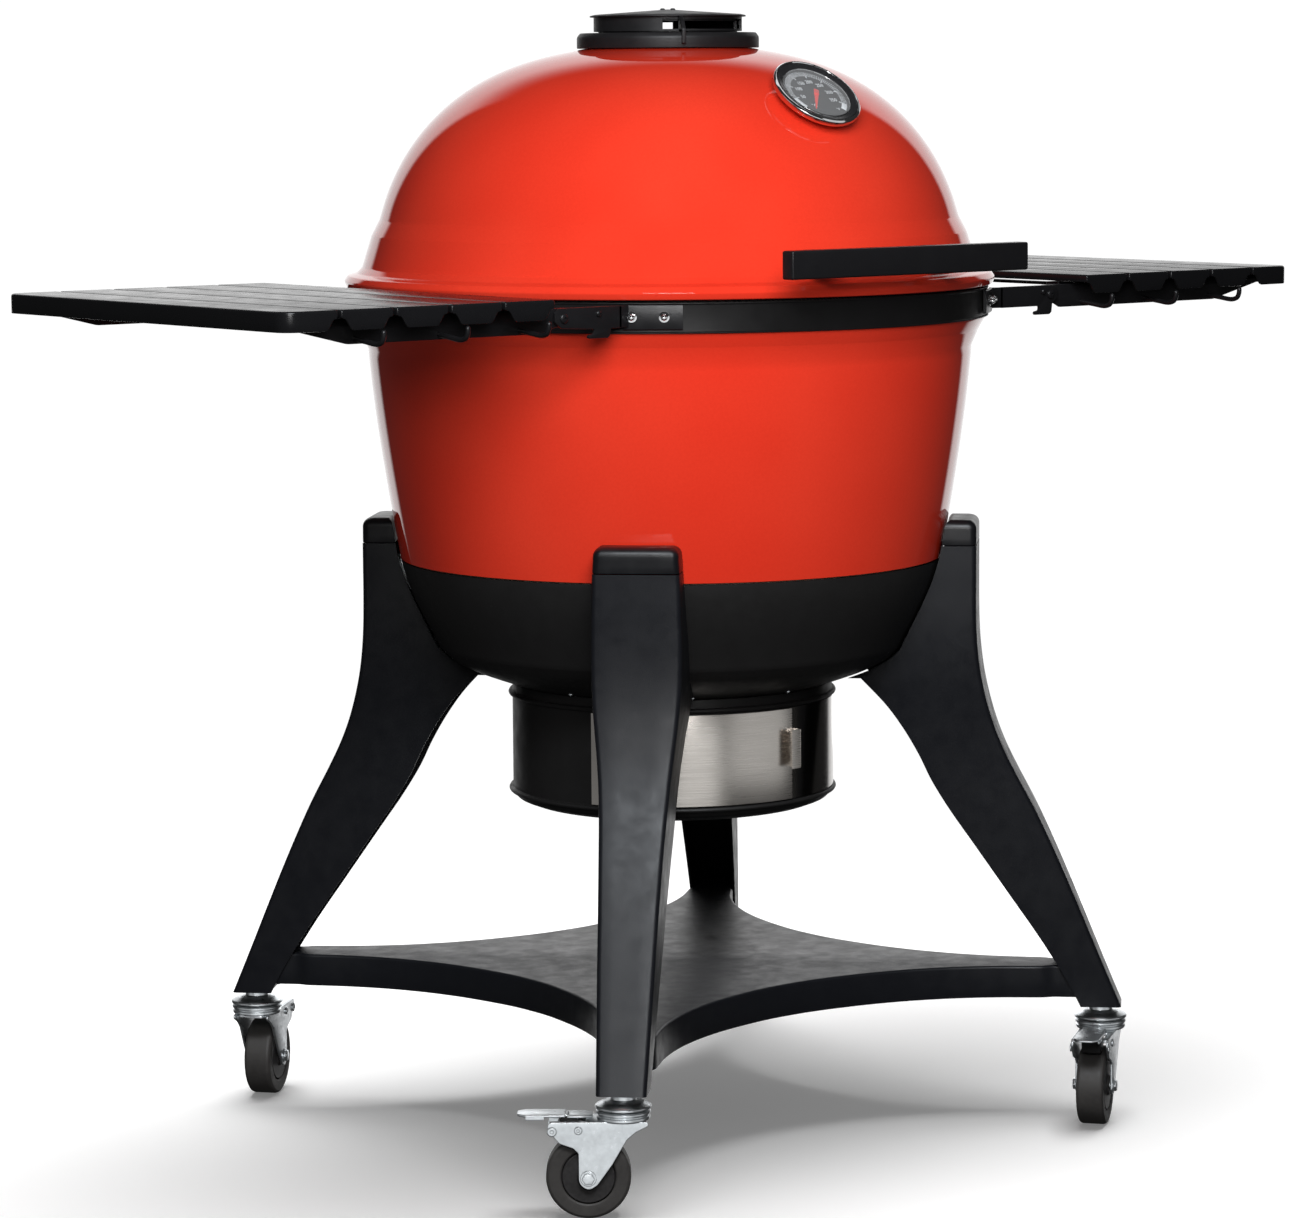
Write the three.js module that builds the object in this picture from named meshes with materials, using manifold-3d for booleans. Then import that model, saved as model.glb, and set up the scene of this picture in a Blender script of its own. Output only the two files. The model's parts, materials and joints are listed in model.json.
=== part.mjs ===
// Ceramic-lined kettle grill on a four-leg cart with folding side shelves.
// Units are millimetres, +Z up. The origin is on the ground under the bowl's
// centre line; the handle and the thermometer face -Y, the lid hinge is at +Y.

import * as THREE from 'three';
import { mergeVertices } from 'three/addons/utils/BufferGeometryUtils.js';
import Module from 'manifold-3d';

const wasm = await Module();
wasm.setup();

// ---------------------------------------------------------------- dimensions
const SEG = 24;                 // facets round the large turned parts
const GAP = 0.3;                // clearance between touching pieces

const BAND_R = 323.2;           // outside of the rim band
const BAND_Z0 = 822.3, BAND_Z1 = 852;
const GRATE_R = 284, GRATE_Z = 800.5, GRATE_T = 6;
const FLAP_HINGE_X = 113.5, FLAP_HINGE_Z = GRATE_Z + GRATE_T / 2;

const HOUSING_R = 164;          // ash housing below the bowl
const DOOR_R = 165.9, DOOR_T = 1.4, DOOR_Z0 = 343, DOOR_Z1 = 435;
const DOOR_AZ0 = -60, DOOR_AZ1 = 7.5;

const LEG_TOP = 618, LEG_FOOT = 118, LEG_WALL = 2.5;
const CASTER_XY = 311;          // caster axes, both directions
const FOOT_RHO = CASTER_XY * Math.SQRT2;

const SHELF_TOP = 160, SHELF_EDGE = 127, SHELF_T = 2.5;

const WING_X0 = 340, WING_X1 = 640, WING_Y0 = -256, WING_Y1 = 230;
const WING_Z = 860, SLATS = 5, SLAT_GAP = 3;
const WING_PIVOT_X = 312, WING_PIVOT_Z = 842, ARM_FRONT = -225.5, ARM_REAR = 203.5;

const HINGE_Y = 352, HINGE_Z = 852;

const WHEEL_R = 40, WHEEL_W = 28, TRAIL = 33;

// thermometer: point on the dome and the dome's slope there
const TH_Y = -222, TH_Z = 1036.5, TH_TILT = 40 * Math.PI / 180;
const NEEDLE_REST = -147 * Math.PI / 180;

// ------------------------------------------------------------------ materials
const mat = (hex, roughness, metalness, extra = {}) =>
  new THREE.MeshStandardMaterial({ color: hex, roughness, metalness, ...extra });
const M = {
  enamel: mat(0xc8200c, 0.12, 0.0),
  bowlBlack: mat(0x1d1d1f, 0.55, 0.2),
  powder: mat(0x17181b, 0.5, 0.3),
  satinBlack: mat(0x141416, 0.4, 0.3),
  slat: mat(0x202124, 0.35, 0.5),
  ceramic: mat(0xcdbfa6, 0.85, 0.0),
  felt: mat(0x2b2b2b, 0.95, 0.0),
  stainless: mat(0xb9b4ac, 0.3, 1.0),
  zinc: mat(0xb7bcc4, 0.35, 0.9),
  castIron: mat(0x2a2928, 0.7, 0.5),
  rubber: mat(0x3a3938, 0.7, 0.0),
  dial: mat(0x0c0c0d, 0.5, 0.0),
  needle: mat(0xc8181c, 0.4, 0.0),
  glass: mat(0xdfe6e8, 0.05, 0.0, { transparent: true, opacity: 0.25 }),
  plastic: mat(0x101012, 0.5, 0.0),
};

// -------------------------------------------------------------------- helpers
const D = Math.PI / 180;

// merge vertices, drop collapsed faces, and turn the faces outwards
function clean(geo) {
  let g = geo;
  for (const a of Object.keys(g.attributes)) if (a !== 'position') g.deleteAttribute(a);
  g = mergeVertices(g, 1e-4);
  const p = g.attributes.position, src = g.index.array, out = [];
  for (let i = 0; i < src.length; i += 3) {
    const [a, b, c] = [src[i], src[i + 1], src[i + 2]];
    if (a !== b && b !== c && a !== c) out.push(a, b, c);
  }
  let vol = 0;
  for (let i = 0; i < out.length; i += 3) {
    const [a, b, c] = [out[i], out[i + 1], out[i + 2]];
    vol += p.getX(a) * (p.getY(b) * p.getZ(c) - p.getZ(b) * p.getY(c))
      - p.getY(a) * (p.getX(b) * p.getZ(c) - p.getZ(b) * p.getX(c))
      + p.getZ(a) * (p.getX(b) * p.getY(c) - p.getY(b) * p.getX(c));
  }
  if (vol < 0) for (let i = 0; i < out.length; i += 3) [out[i], out[i + 1]] = [out[i + 1], out[i]];
  g.setIndex(out);
  return g;
}

function toSolid(geo) {
  const g = clean(geo.clone());
  return new wasm.Manifold(new wasm.Mesh({
    numProp: 3,
    vertProperties: new Float32Array(g.attributes.position.array),
    triVerts: new Uint32Array(g.index.array),
  }));
}

function toGeometry(solid) {
  const m = solid.getMesh();
  const g = new THREE.BufferGeometry();
  const n = m.numProp, v = m.vertProperties, pos = new Float32Array(v.length / n * 3);
  for (let i = 0; i < v.length / n; i++) for (let k = 0; k < 3; k++) pos[3 * i + k] = v[n * i + k];
  g.setAttribute('position', new THREE.BufferAttribute(pos, 3));
  g.setIndex(Array.from(m.triVerts));
  return g;
}

const join = (...geos) => toGeometry(geos.map(toSolid).reduce((a, b) => a.add(b)));
const cut = (geo, ...tools) => toGeometry(tools.map(toSolid).reduce((a, b) => a.subtract(b), toSolid(geo)));
const common = (a, b) => toGeometry(toSolid(a).intersect(toSolid(b)));

// turned part: points are [radius, z]; a profile off the axis is closed on itself
function turned(points, seg = SEG) {
  const pts = points.map(([r, z]) => new THREE.Vector2(r, z));
  if (points[0][0] > 1e-6 || points[points.length - 1][0] > 1e-6) pts.push(pts[0].clone());
  const g = new THREE.LatheGeometry(pts, seg);
  g.rotateX(Math.PI / 2);
  return g;
}

function box(x0, x1, y0, y1, z0, z1) {
  const g = new THREE.BoxGeometry(x1 - x0, y1 - y0, z1 - z0);
  g.translate((x0 + x1) / 2, (y0 + y1) / 2, (z0 + z1) / 2);
  return g;
}

const shapeOf = (pts, holes = []) => {
  const s = new THREE.Shape(pts.map(([a, b]) => new THREE.Vector2(a, b)));
  for (const h of holes) s.holes.push(new THREE.Path(h.map(([a, b]) => new THREE.Vector2(a, b))));
  return s;
};
// flat outline in XY, from z0 to z1
function plateZ(pts, z0, z1, holes = []) {
  const g = new THREE.ExtrudeGeometry(shapeOf(pts, holes), { depth: z1 - z0, bevelEnabled: false, steps: 1 });
  g.translate(0, 0, z0);
  return g;
}
// outline in XZ, from y0 to y1
function plateY(pts, y0, y1, holes = []) {
  const g = new THREE.ExtrudeGeometry(shapeOf(pts, holes), { depth: y1 - y0, bevelEnabled: false, steps: 1 });
  g.rotateX(Math.PI / 2);
  g.translate(0, y1, 0);
  return g;
}
// outline in YZ, from x0 to x1
function plateX(pts, x0, x1, holes = []) {
  const g = new THREE.ExtrudeGeometry(shapeOf(pts, holes), { depth: x1 - x0, bevelEnabled: false, steps: 1 });
  g.rotateX(Math.PI / 2);
  g.rotateZ(Math.PI / 2);
  g.translate(x0, 0, 0);
  return g;
}

const circle = (r, n, cx = 0, cy = 0, off = 0) =>
  Array.from({ length: n }, (_, i) => [cx + r * Math.cos(2 * Math.PI * i / n + off), cy + r * Math.sin(2 * Math.PI * i / n + off)]);

// point at azimuth az (degrees from the front, -Y, towards +X)
const at = (r, az) => [r * Math.sin(az * D), -r * Math.cos(az * D)];

// part of a ring between two azimuths
function arcPlate(r0, r1, az0, az1, z0, z1, step = 7.5) {
  const n = Math.max(1, Math.ceil((az1 - az0) / step)), a = [], b = [];
  for (let i = 0; i <= n; i++) {
    const t = az0 + (az1 - az0) * i / n;
    a.push(at(r1, t)); b.unshift(at(r0, t));
  }
  return plateZ([...a, ...b], z0, z1);
}

// flat plate with openings cut through it
const pierced = (pts, z0, z1, holes) => cut(plateZ(pts, z0, z1), ...holes.map((h) => plateZ(h, z0 - 2, z1 + 2)));

function wedge(r, az0, az1, z0, z1) { return arcPlate(20, r, az0, az1, z0, z1, 15); }

// round bar of n sides along a list of points
function rod(points, r, n = 6, steps = null) {
  const path = points.length === 2
    ? new THREE.LineCurve3(points[0], points[1])
    : new THREE.CatmullRomCurve3(points, false, 'centripetal');
  const s = shapeOf(circle(r, n));
  return new THREE.ExtrudeGeometry(s, { steps: steps ?? (points.length === 2 ? 1 : (points.length - 1) * 2), bevelEnabled: false, extrudePath: path });
}
const V = (x, y, z) => new THREE.Vector3(x, y, z);

const root = new THREE.Group();
root.name = 'kettle_grill';

function add(name, geo, material, parent = root) {
  const g = clean(geo);
  g.computeVertexNormals();
  const m = new THREE.Mesh(g, material);
  m.name = name;
  parent.add(m);
  return m;
}

// --------------------------------------------------------------- fire bowl
add('base_shell', turned([
  [320.7, 846], [320.7, 822], [312, 806], [307, 793], [300, 731], [290, 660], [276.9, 578.6],
  [274.7, 578.9], [287.8, 660.4], [297.8, 731.2], [304.7, 793.4], [309.8, 806.6], [318.4, 822.6], [318.4, 846],
]), M.enamel);

add('lower_bowl', turned([
  [275.6, 577.4], [268, 550], [252, 516], [238, 487], [226, 476], [164, 450.6],
  [163.2, 452.8], [224.8, 478.2], [236.1, 488.6], [249.9, 517], [265.7, 550.8], [273.2, 577.4],
]), M.bowlBlack);

add('base_liner', turned([
  [316.2, 846], [316.2, 823.6], [302.4, 793.6], [295.6, 731.3], [285.4, 660.6],
  [271.5, 585], [262, 545], [246, 515], [228, 492], [200, 474], [150, 458],
  [150, 476], [206, 500], [240, 548], [262, 640], [276, 740], [270, 800], [288, 800], [288, 806], [301, 846],
]), M.ceramic);

add('rim_band', turned([
  [BAND_R, BAND_Z0], [BAND_R, BAND_Z1], [321.1, BAND_Z1], [321.1, BAND_Z0],
]), M.satinBlack);

add('rim_gasket', turned([[316, 846.4], [316, 857], [303, 857], [303, 846.4]]), M.felt);

// ---------------------------------------------------------- ash housing
const windowTools = [];
for (let k = 0; k < 3; k++) windowTools.push(wedge(200, -55 + 19 * k, -55 + 19 * k + 16, 356, 424));
add('ash_housing', cut(turned([
  [0, 326], [150, 326], [162, 334], [168.4, 336.5], [168.4, 341.6], [164, 341.9], [164, 436.2], [168.4, 436.5], [168.4, 441], [164, 441.3], [164, 450.2],
  [161.6, 450.2], [161.6, 337], [149, 328.5], [0, 328.5],
]), ...windowTools), M.bowlBlack);

add('draft_ring', cut(arcPlate(164.4, 165.4, -68, 78, DOOR_Z0, DOOR_Z1), ...windowTools), M.stainless);

add('ash_pan', turned([
  [0, 329], [143, 329], [151, 334], [151, 375], [149, 375], [149, 335.2], [142.4, 331], [0, 331],
], 20), M.zinc);

{
  const holes = [];
  for (let i = -3; i <= 3; i++) {
    const x = i * 42, h = Math.sqrt(154 * 154 - x * x) * 0.97;
    holes.push([[x - 9, -h], [x + 9, -h], [x + 9, -8], [x - 9, -8]]);
    holes.push([[x - 9, 8], [x + 9, 8], [x + 9, h], [x - 9, h]]);
  }
  add('charcoal_grate', pierced(circle(167, 32), 484.3, 490, holes), M.castIron);
}

add('fire_ring', turned([[205, 500.6], [205, 630], [193, 630], [193, 500.6]]), M.ceramic);

add('heat_deflector', join(
  plateZ(circle(228, 32), 630.5, 642.5),
  ...[90, 210, 330].map((a) => { const g = box(215, 252, -16, 16, 630.5, 642.5); g.rotateZ(a * D); return g; }),
), M.ceramic);

// -------------------------------------------------------------- cooking grate
{
  const arc = (r, x, s, n = 9) => {            // the arc of radius r outside x, side s
    const t = Math.acos(x / r);
    return Array.from({ length: n + 1 }, (_, i) => {
      const a = -t + 2 * t * i / n;
      return [s * r * Math.cos(a), r * Math.sin(a)];
    });
  };
  const holes = [arc(275, 107, 1), arc(275, 107, -1)];
  for (let i = -3; i <= 4; i++) {
    const x0 = (i - 0.5) * 26 - 10, h = Math.sqrt(272 * 272 - 110 * 110);
    const x1 = x0 + 20;
    if (x1 > 104 || x0 < -104) continue;
    for (const [y0, y1] of [[-h, -3], [3, h]]) holes.push([[x0, y0], [x1, y0], [x1, y1], [x0, y1]]);
  }
  add('cooking_grate', pierced(circle(GRATE_R, 32), GRATE_Z, GRATE_Z + GRATE_T, holes), M.castIron);
  for (const [name, s] of [['grate_flap_left', -1], ['grate_flap_right', 1]]) {
    const slots = [];
    for (let i = 0; i < 5; i++) {
      const x0 = 126 + i * 26, x1 = x0 + 20;
      const h = Math.sqrt(262 * 262 - x1 * x1);
      for (const [y0, y1] of (i < 4 ? [[-h, -3], [3, h]] : [[-h, h]])) slots.push([[s * x0, y0], [s * x1, y0], [s * x1, y1], [s * x0, y1]]);
    }
    add(name, pierced(arc(272, 117, s), GRATE_Z, GRATE_Z + GRATE_T, slots), M.castIron);
  }
}

// ------------------------------------------------------------------- the lid
const lid = new THREE.Group();
lid.name = 'lid';
root.add(lid);

const thermoFrame = new THREE.Matrix4()
  .makeTranslation(0, TH_Y, TH_Z)
  .multiply(new THREE.Matrix4().makeRotationX(TH_TILT));
const thermoHole = (r, seg = 12) => turned([[0, -60], [r, -60], [r, 30], [0, 30]], seg).applyMatrix4(thermoFrame);

add('lid_shell', cut(turned([
  [66, 1094.5], [104, 1088.4], [137, 1080.4], [180, 1064.5], [218, 1040.4], [243.6, 1016.4], [262.4, 992.4],
  [283.4, 952.3], [294.8, 920.1], [310.6, 881], [312.8, 873], [326, 867], [330, 861], [327, 854],
  [322.5, 854], [311, 869], [308.4, 880.6], [292.6, 919.6], [281.4, 951.3], [260.5, 991],
  [216.6, 1038.6], [179, 1062.6], [136.4, 1078.3], [66, 1091.5],
]), thermoHole(6)), M.enamel, lid);

add('lid_liner', cut(turned([
  [315.5, 857.5], [308, 868.5], [305.4, 880], [290.2, 919.5], [270, 967], [236, 1012.5], [177, 1059.5], [103, 1082.5], [72, 1087],
  [72, 1073], [128, 1060], [196, 1029], [242, 988], [270, 940], [301, 857.5],
]), thermoHole(8)), M.ceramic, lid);

// vent: a fixed collar with a windowed tube, and the turning cap over it
const VENT_Z = 1107.5;
const ventWindows = (r0, r1, z0, z1, a0) => [a0, a0 + 180].map((a) => arcPlate(r0, r1, a, a + 86, z0, z1, 12));
add('vent_base', cut(turned([
  [92, 1091.7], [92, 1103], [89, VENT_Z], [70, VENT_Z], [70, 1121], [67, 1121], [67, 1099.5], [61, 1099.5], [61, 1074], [64, 1074], [64, 1095.4],
], 20), ...ventWindows(64, 74, 1109.5, 1119, -43)), M.satinBlack, lid);

const vent = new THREE.Group();
vent.name = 'vent';
lid.add(vent);
{
  const fin = plateY([[73.5, 1109], [92.9, 1109], [92.9, 1096], [96.2, 1096], [96.2, 1111], [89, 1118], [78, 1123.6], [73.5, 1123.6]], -2, 2);
  fin.rotateZ((-90 - 29) * D);
  const skin = cut(turned([
    [0, 1132], [78.7, 1125.4], [78.7, 1123], [75, 1123], [75, 1108.7], [72.4, 1108.7], [72.4, 1122.2], [0, 1128.6],
  ], 20), ...ventWindows(70, 74.9, 1110.5, 1120.5, -43), ...ventWindows(74, 80, 1110.5, 1120.5, -43));
  add('vent_cap', join(skin, fin), M.satinBlack, vent);
}

// handle: square bar on two stand-off posts
add('handle_bar', plateZ([[-150, -357], [-148, -355], [148, -355], [150, -357], [150, -369], [148, -371], [-148, -371], [-150, -369]], 875, 902), M.satinBlack, lid);
for (const [name, s] of [['handle_post_left', -1], ['handle_post_right', 1]]) {
  const post = join(
    box(s * 75 - 7, s * 75 + 7, -354.7, -303.6, 880, 897),
    box(s * 75 - 11, s * 75 + 11, -307, -303.6, 877, 899.5),
  );
  add(name, cut(post, turned([[0, 870], [313.6, 870], [312.6, 876], [311.8, 881.3], [303.4, 903], [300, 912], [0, 912]])), M.satinBlack, lid);
}

// thermometer
{
  const g = new THREE.Group();
  g.name = 'thermometer';
  g.position.set(0, TH_Y, TH_Z);
  g.rotation.x = TH_TILT;
  lid.add(g);
  add('thermometer_case', turned([
    [0, -58], [3.5, -58], [3.5, 2.4], [14, 2.4], [14, 4.2], [36, 5], [46, 11], [46, 16.6], [42.8, 16.6], [42.8, 10.4], [0, 10.4],
  ], 20), M.stainless, g);
  add('thermometer_dial', turned([[0, 10.8], [41.8, 10.8], [41.8, 11.6], [0, 11.6]], 20), M.dial, g);
  const needle = plateZ([[-2.6, -7], [2.6, -7], [1.6, 8], [0.4, 26], [-0.4, 26], [-1.6, 8]], 12.2, 13);
  needle.rotateZ(-NEEDLE_REST);
  add('thermometer_needle', needle, M.needle, g);
  add('thermometer_lens', turned([[0, 14.2], [41.8, 14.2], [41.8, 15.6], [0, 15.6]], 20), M.glass, g);
}

// rear hinge
{
  const lugHole = circle(4.35, 12, HINGE_Y, HINGE_Z);
  const round = (r, a0, a1, n) => Array.from({ length: n + 1 }, (_, i) => {
    const a = (a0 + (a1 - a0) * i / n) * D;
    return [HINGE_Y + r * Math.cos(a), HINGE_Z + r * Math.sin(a)];
  });
  const baseLug = [[324.6, 826], [330, 826], ...round(8.5, -60, 120, 8), [324.6, 848.5]];
  add('hinge_base', join(
    box(-45, 45, 324.2, 328.4, 825, 848),
    plateX(baseLug, -40, -31, [lugHole]), plateX(baseLug, 31, 40, [lugHole]),
  ), M.satinBlack);
  const pin = turned([[0, -46], [4, -46], [4, 46], [0, 46]], 12);
  pin.rotateX(Math.PI / 2); pin.rotateZ(Math.PI / 2);
  pin.translate(0, HINGE_Y, HINGE_Z);
  add('hinge_pin', pin, M.zinc);
  const arm = [...round(8.5, -150, 60, 9), [350, 874], [336, 884], [317.6, 890], [317.6, 905], [313.4, 905], [313.4, 878], [334, 871.5], [342.5, 861]];
  add('hinge_strap', join(
    plateX(arm, -28, -19, [lugHole]), plateX(arm, 19, 28, [lugHole]),
    box(-28, 28, 313.4, 317.6, 876.8, 905),
  ), M.satinBlack, lid);
}

// ---------------------------------------------------------------- air door
{
  const door = new THREE.Group();
  door.name = 'air_door_group';
  root.add(door);
  const skin = arcPlate(DOOR_R, DOOR_R + DOOR_T, DOOR_AZ0, DOOR_AZ1, DOOR_Z0, DOOR_Z1, 7.5);
  const tab = arcPlate(DOOR_R + DOOR_T - 0.6, DOOR_R + 12, DOOR_AZ1 - 0.9, DOOR_AZ1, 375, 415, 5);
  const lip = arcPlate(DOOR_R + 10.8, DOOR_R + 12, DOOR_AZ1 - 3.6, DOOR_AZ1, 375, 415, 5);
  add('air_door', join(skin, tab, lip), M.stainless, door);
}

// -------------------------------------------------------------------- legs
// outer edge and inner edge of a leg's side, [rho, z]
const LEG_OUT = [[300, LEG_TOP], [308, 614], [311.5, 606], [312.5, 510], [318.5, 460], [326, 426], [341, 383], [371, 325], [399, 262], [440, 164], [461, LEG_FOOT]];
const LEG_IN = [[420, LEG_FOOT], [412, 136], [387, 176], [346, 234], [283, 325], [255, 380], [223, 430], [197, 457], [197, 470], [240, 560], [270, LEG_TOP]];
// half width of the leg, [half, z]
const LEG_HALF = [[39, LEG_TOP], [41.5, 612], [42.5, 570], [44, 520], [42.5, 470], [37.5, 420], [33, 370], [29.5, 290], [26.8, 200], [24, LEG_FOOT]];

const envelope = turned([
  [0, 665], [292.4, 665], [291.6, 660], [286.2, 629], [278.4, 578], [269.6, 549.3], [253.6, 515.2], [239.4, 485.6], [226.8, 474.4], [192.2, 458.4], [164.5, 448.8], [0, 448.8],
]);

function legSolid() {
  const side = plateY([...LEG_OUT, ...LEG_IN], -60, 60);
  const face = plateX([...LEG_HALF, ...LEG_HALF.slice().reverse().map(([h, z]) => [-h, z])], 150, 480);
  const body = common(side, face);
  const w = LEG_WALL;
  const inOut = LEG_OUT.slice(2).map(([r, z]) => [r - 3, z]);
  const inner = plateY([[308.5, LEG_TOP - 3], ...inOut.slice(1, -1), [454.5, LEG_FOOT + 6], [300, LEG_FOOT + 6], [100, 330], [100, LEG_TOP - 3]], -60, 60);
  const innerFace = plateX([
    ...LEG_HALF.map(([h, z]) => [h - w, z]),
    ...LEG_HALF.slice().reverse().map(([h, z]) => [-(h - w), z]),
  ], 90, 480);
  const channel = common(inner, innerFace);
  const stemHole = turned([[0, 100], [6.8, 100], [6.8, 135], [0, 135]], 12);
  stemHole.translate(FOOT_RHO, 0, 0);
  return cut(body, channel, stemHole, envelope);
}
const legGeo = legSolid();

function bracketSolid() {
  const g = join(
    box(301.8, 305.2, -34, 34, 536, 574),
    box(240, 305.2, -34, -31, 536, 574),
    box(240, 305.2, 31, 34, 536, 574),
  );
  return cut(g, turned([[0, 600], [281, 600], [277.6, 578], [268.8, 549.6], [252.9, 515.7], [0, 515.7]]));
}
const bracketGeo = bracketSolid();

const corners = [
  ['front_left', -135], ['front_right', -45], ['rear_right', 45], ['rear_left', 135],
];
for (const [name, deg] of corners) {
  const g = new THREE.Group();
  g.name = 'corner_' + name;
  g.rotation.z = deg * D;
  root.add(g);
  add('leg_' + name, legGeo.clone(), M.powder, g);
  add('leg_bracket_' + name, bracketGeo.clone(), M.zinc, g);
}

// --------------------------------------------------------------- lower shelf
{
  const half = [[426, 20.4], [392, 20.4], [384, 25], [340, 27], [290, 37.5], [240, 56], [178, 93]];
  const quarter = [...half.map(([r, t]) => [r, -t]).reverse(), ...half];
  const outline = [];
  for (let k = 0; k < 4; k++) {
    const a = (-135 + 90 * k) * D, c = Math.cos(a), s = Math.sin(a);
    for (const [r, t] of quarter) outline.push([r * c - t * s, r * s + t * c]);
    const m = a + 45 * D;
    outline.push([186 * Math.cos(m), 186 * Math.sin(m)]);
  }
  const inset = (pts, d) => pts.map((p, i) => {
    const a = pts[(i + pts.length - 1) % pts.length], b = pts[(i + 1) % pts.length];
    const e0 = new THREE.Vector2(p[0] - a[0], p[1] - a[1]).normalize();
    const e1 = new THREE.Vector2(b[0] - p[0], b[1] - p[1]).normalize();
    const n0 = new THREE.Vector2(-e0.y, e0.x), n1 = new THREE.Vector2(-e1.y, e1.x);
    const n = n0.add(n1).normalize();
    const k = d / Math.max(0.5, n.dot(n1));
    return [p[0] + n.x * k, p[1] + n.y * k];
  });
  add('lower_shelf', cut(plateZ(outline, SHELF_EDGE, SHELF_TOP), plateZ(inset(outline, SHELF_T), SHELF_EDGE - 5, SHELF_TOP - SHELF_T)), M.powder);
}

// --------------------------------------------------------------- side shelves
const wings = {};
for (const [side, s] of [['left', -1], ['right', 1]]) {
  const g = new THREE.Group();
  g.name = side + '_shelf';
  root.add(g);
  wings[side] = g;
  const X = (x0, x1, ...r) => (s > 0 ? box(x0, x1, ...r) : box(-x1, -x0, ...r));
  // slats on two battens
  const pitch = (WING_X1 - WING_X0 + SLAT_GAP) / SLATS;
  const pieces = [];
  for (let i = 0; i < SLATS; i++) {
    const x0 = WING_X0 + i * pitch, x1 = x0 + pitch - SLAT_GAP;
    pieces.push(X(x0, x1, WING_Y0, WING_Y1, 850.2, WING_Z));
    pieces.push(plateY([[s * (x0 + 4), 851], [s * (x1 - 4), 851], [s * (x1 - 12), 841], [s * (x0 + 12), 841]], WING_Y0, WING_Y0 + 3));
    pieces.push(plateY([[s * (x0 + 4), 851], [s * (x1 - 4), 851], [s * (x1 - 12), 841], [s * (x0 + 12), 841]], WING_Y1 - 3, WING_Y1));
  }
  pieces.push(X(WING_X1 - 3, WING_X1, WING_Y0, WING_Y1, 841, 851));
  pieces.push(X(WING_X0 + 8, WING_X1 - 8, -206, -186, 848, 851));
  pieces.push(X(WING_X0 + 8, WING_X1 - 8, 164, 184, 848, 851));
  const r = 17, plan = [];
  const corner = (cx, cy, a0) => { for (let k = 0; k <= 3; k++) { const a = (a0 + 30 * k) * D; plan.push([s * (cx + r * Math.cos(a)), cy + r * Math.sin(a)]); } };
  plan.push([s * WING_X0, WING_Y0]);
  corner(WING_X1 - r, WING_Y0 + r, -90);
  corner(WING_X1 - r, WING_Y1 - r, 0);
  plan.push([s * WING_X0, WING_Y1]);
  add(side + '_shelf_top', common(join(...pieces), plateZ(plan, 830, 870)), M.slat, g);

  // frame: two arms, two cross bars and three hooks
  const armPts = [[302, 834], [304, 832.6], [320, 832], [330, 826.5], [553, 826.5], [633, 846], [633, 847.6], [306, 847.6], [302, 844]].map(([x, z]) => [s * x, z]);
  const hole = circle(4.4, 10, s * WING_PIVOT_X, WING_PIVOT_Z - 1.5);
  const parts = [];
  for (const [f, yc] of [[-1, ARM_FRONT], [1, ARM_REAR]]) {
    const y0 = yc - 2, y1 = yc + 2;
    parts.push(plateY(armPts, y0, y1, [hole]));
    parts.push(X(345, 628, f > 0 ? y0 - 12 : y1 - 0.5, f > 0 ? y0 + 0.5 : y1 + 12, 845.2, 847.6));
  }
  parts.push(X(578, 598, ARM_FRONT - 1, ARM_REAR + 1, 838, 847.6));
  parts.push(X(380, 402, ARM_FRONT - 1, ARM_REAR + 1, 845.2, 847.6));
  for (const x of [360, 452, 545]) {
    parts.push(rod([V(s * x, ARM_FRONT - 0.5, 831), V(s * x, -248, 829), V(s * x, -262, 827.5), V(s * x, -270, 830), V(s * x, -272, 838.5)], 2.6, 6, 4));
  }
  add(side + '_shelf_frame', join(...parts), M.satinBlack, g);

  // brackets on the rim band that carry the pivots, front and rear
  for (const [end, f] of [['front', -1], ['rear', 1]]) {
    const az = f < 0 ? [s * 46.5, s * 36.5] : [s * 128.5, s * 138.5];
    const pad = arcPlate(324, 327.4, Math.min(...az), Math.max(...az), 826, 850, 3);
    const yy = f < 0 ? ARM_FRONT - 4.5 : ARM_REAR + 4.5, x0 = f < 0 ? 243 : 247;
    const arm = plateY([[x0, 829], [282, 829], [284, 821], [300, 821], [302, 829], [316, 833], [322, 838], [322, 846], [317, 850], [x0, 850]].map(([x, z]) => [s * x, z]),
      Math.min(yy - f * 1.6, yy + f * 1.6), Math.max(yy - f * 1.6, yy + f * 1.6));
    const boss = turned([[0, 0], [4, 0], [4, 9.4], [0, 9.4]], 10);
    boss.rotateX(Math.PI / 2 * f);
    boss.translate(s * WING_PIVOT_X, yy, WING_PIVOT_Z - 1.5);
    const neck = f < 0 ? [plateZ([[231.3, -227.3], [233.5, -229.5], [243, -231.6], [246, -231.6], [246, -228.4], [235.2, -223.2]].map(([x, y]) => [s * x, y]), 829, 850)] : [];
    add(`shelf_bracket_${side}_${end}`, join(pad, arm, boss, ...neck), M.satinBlack);
  }
}

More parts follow.
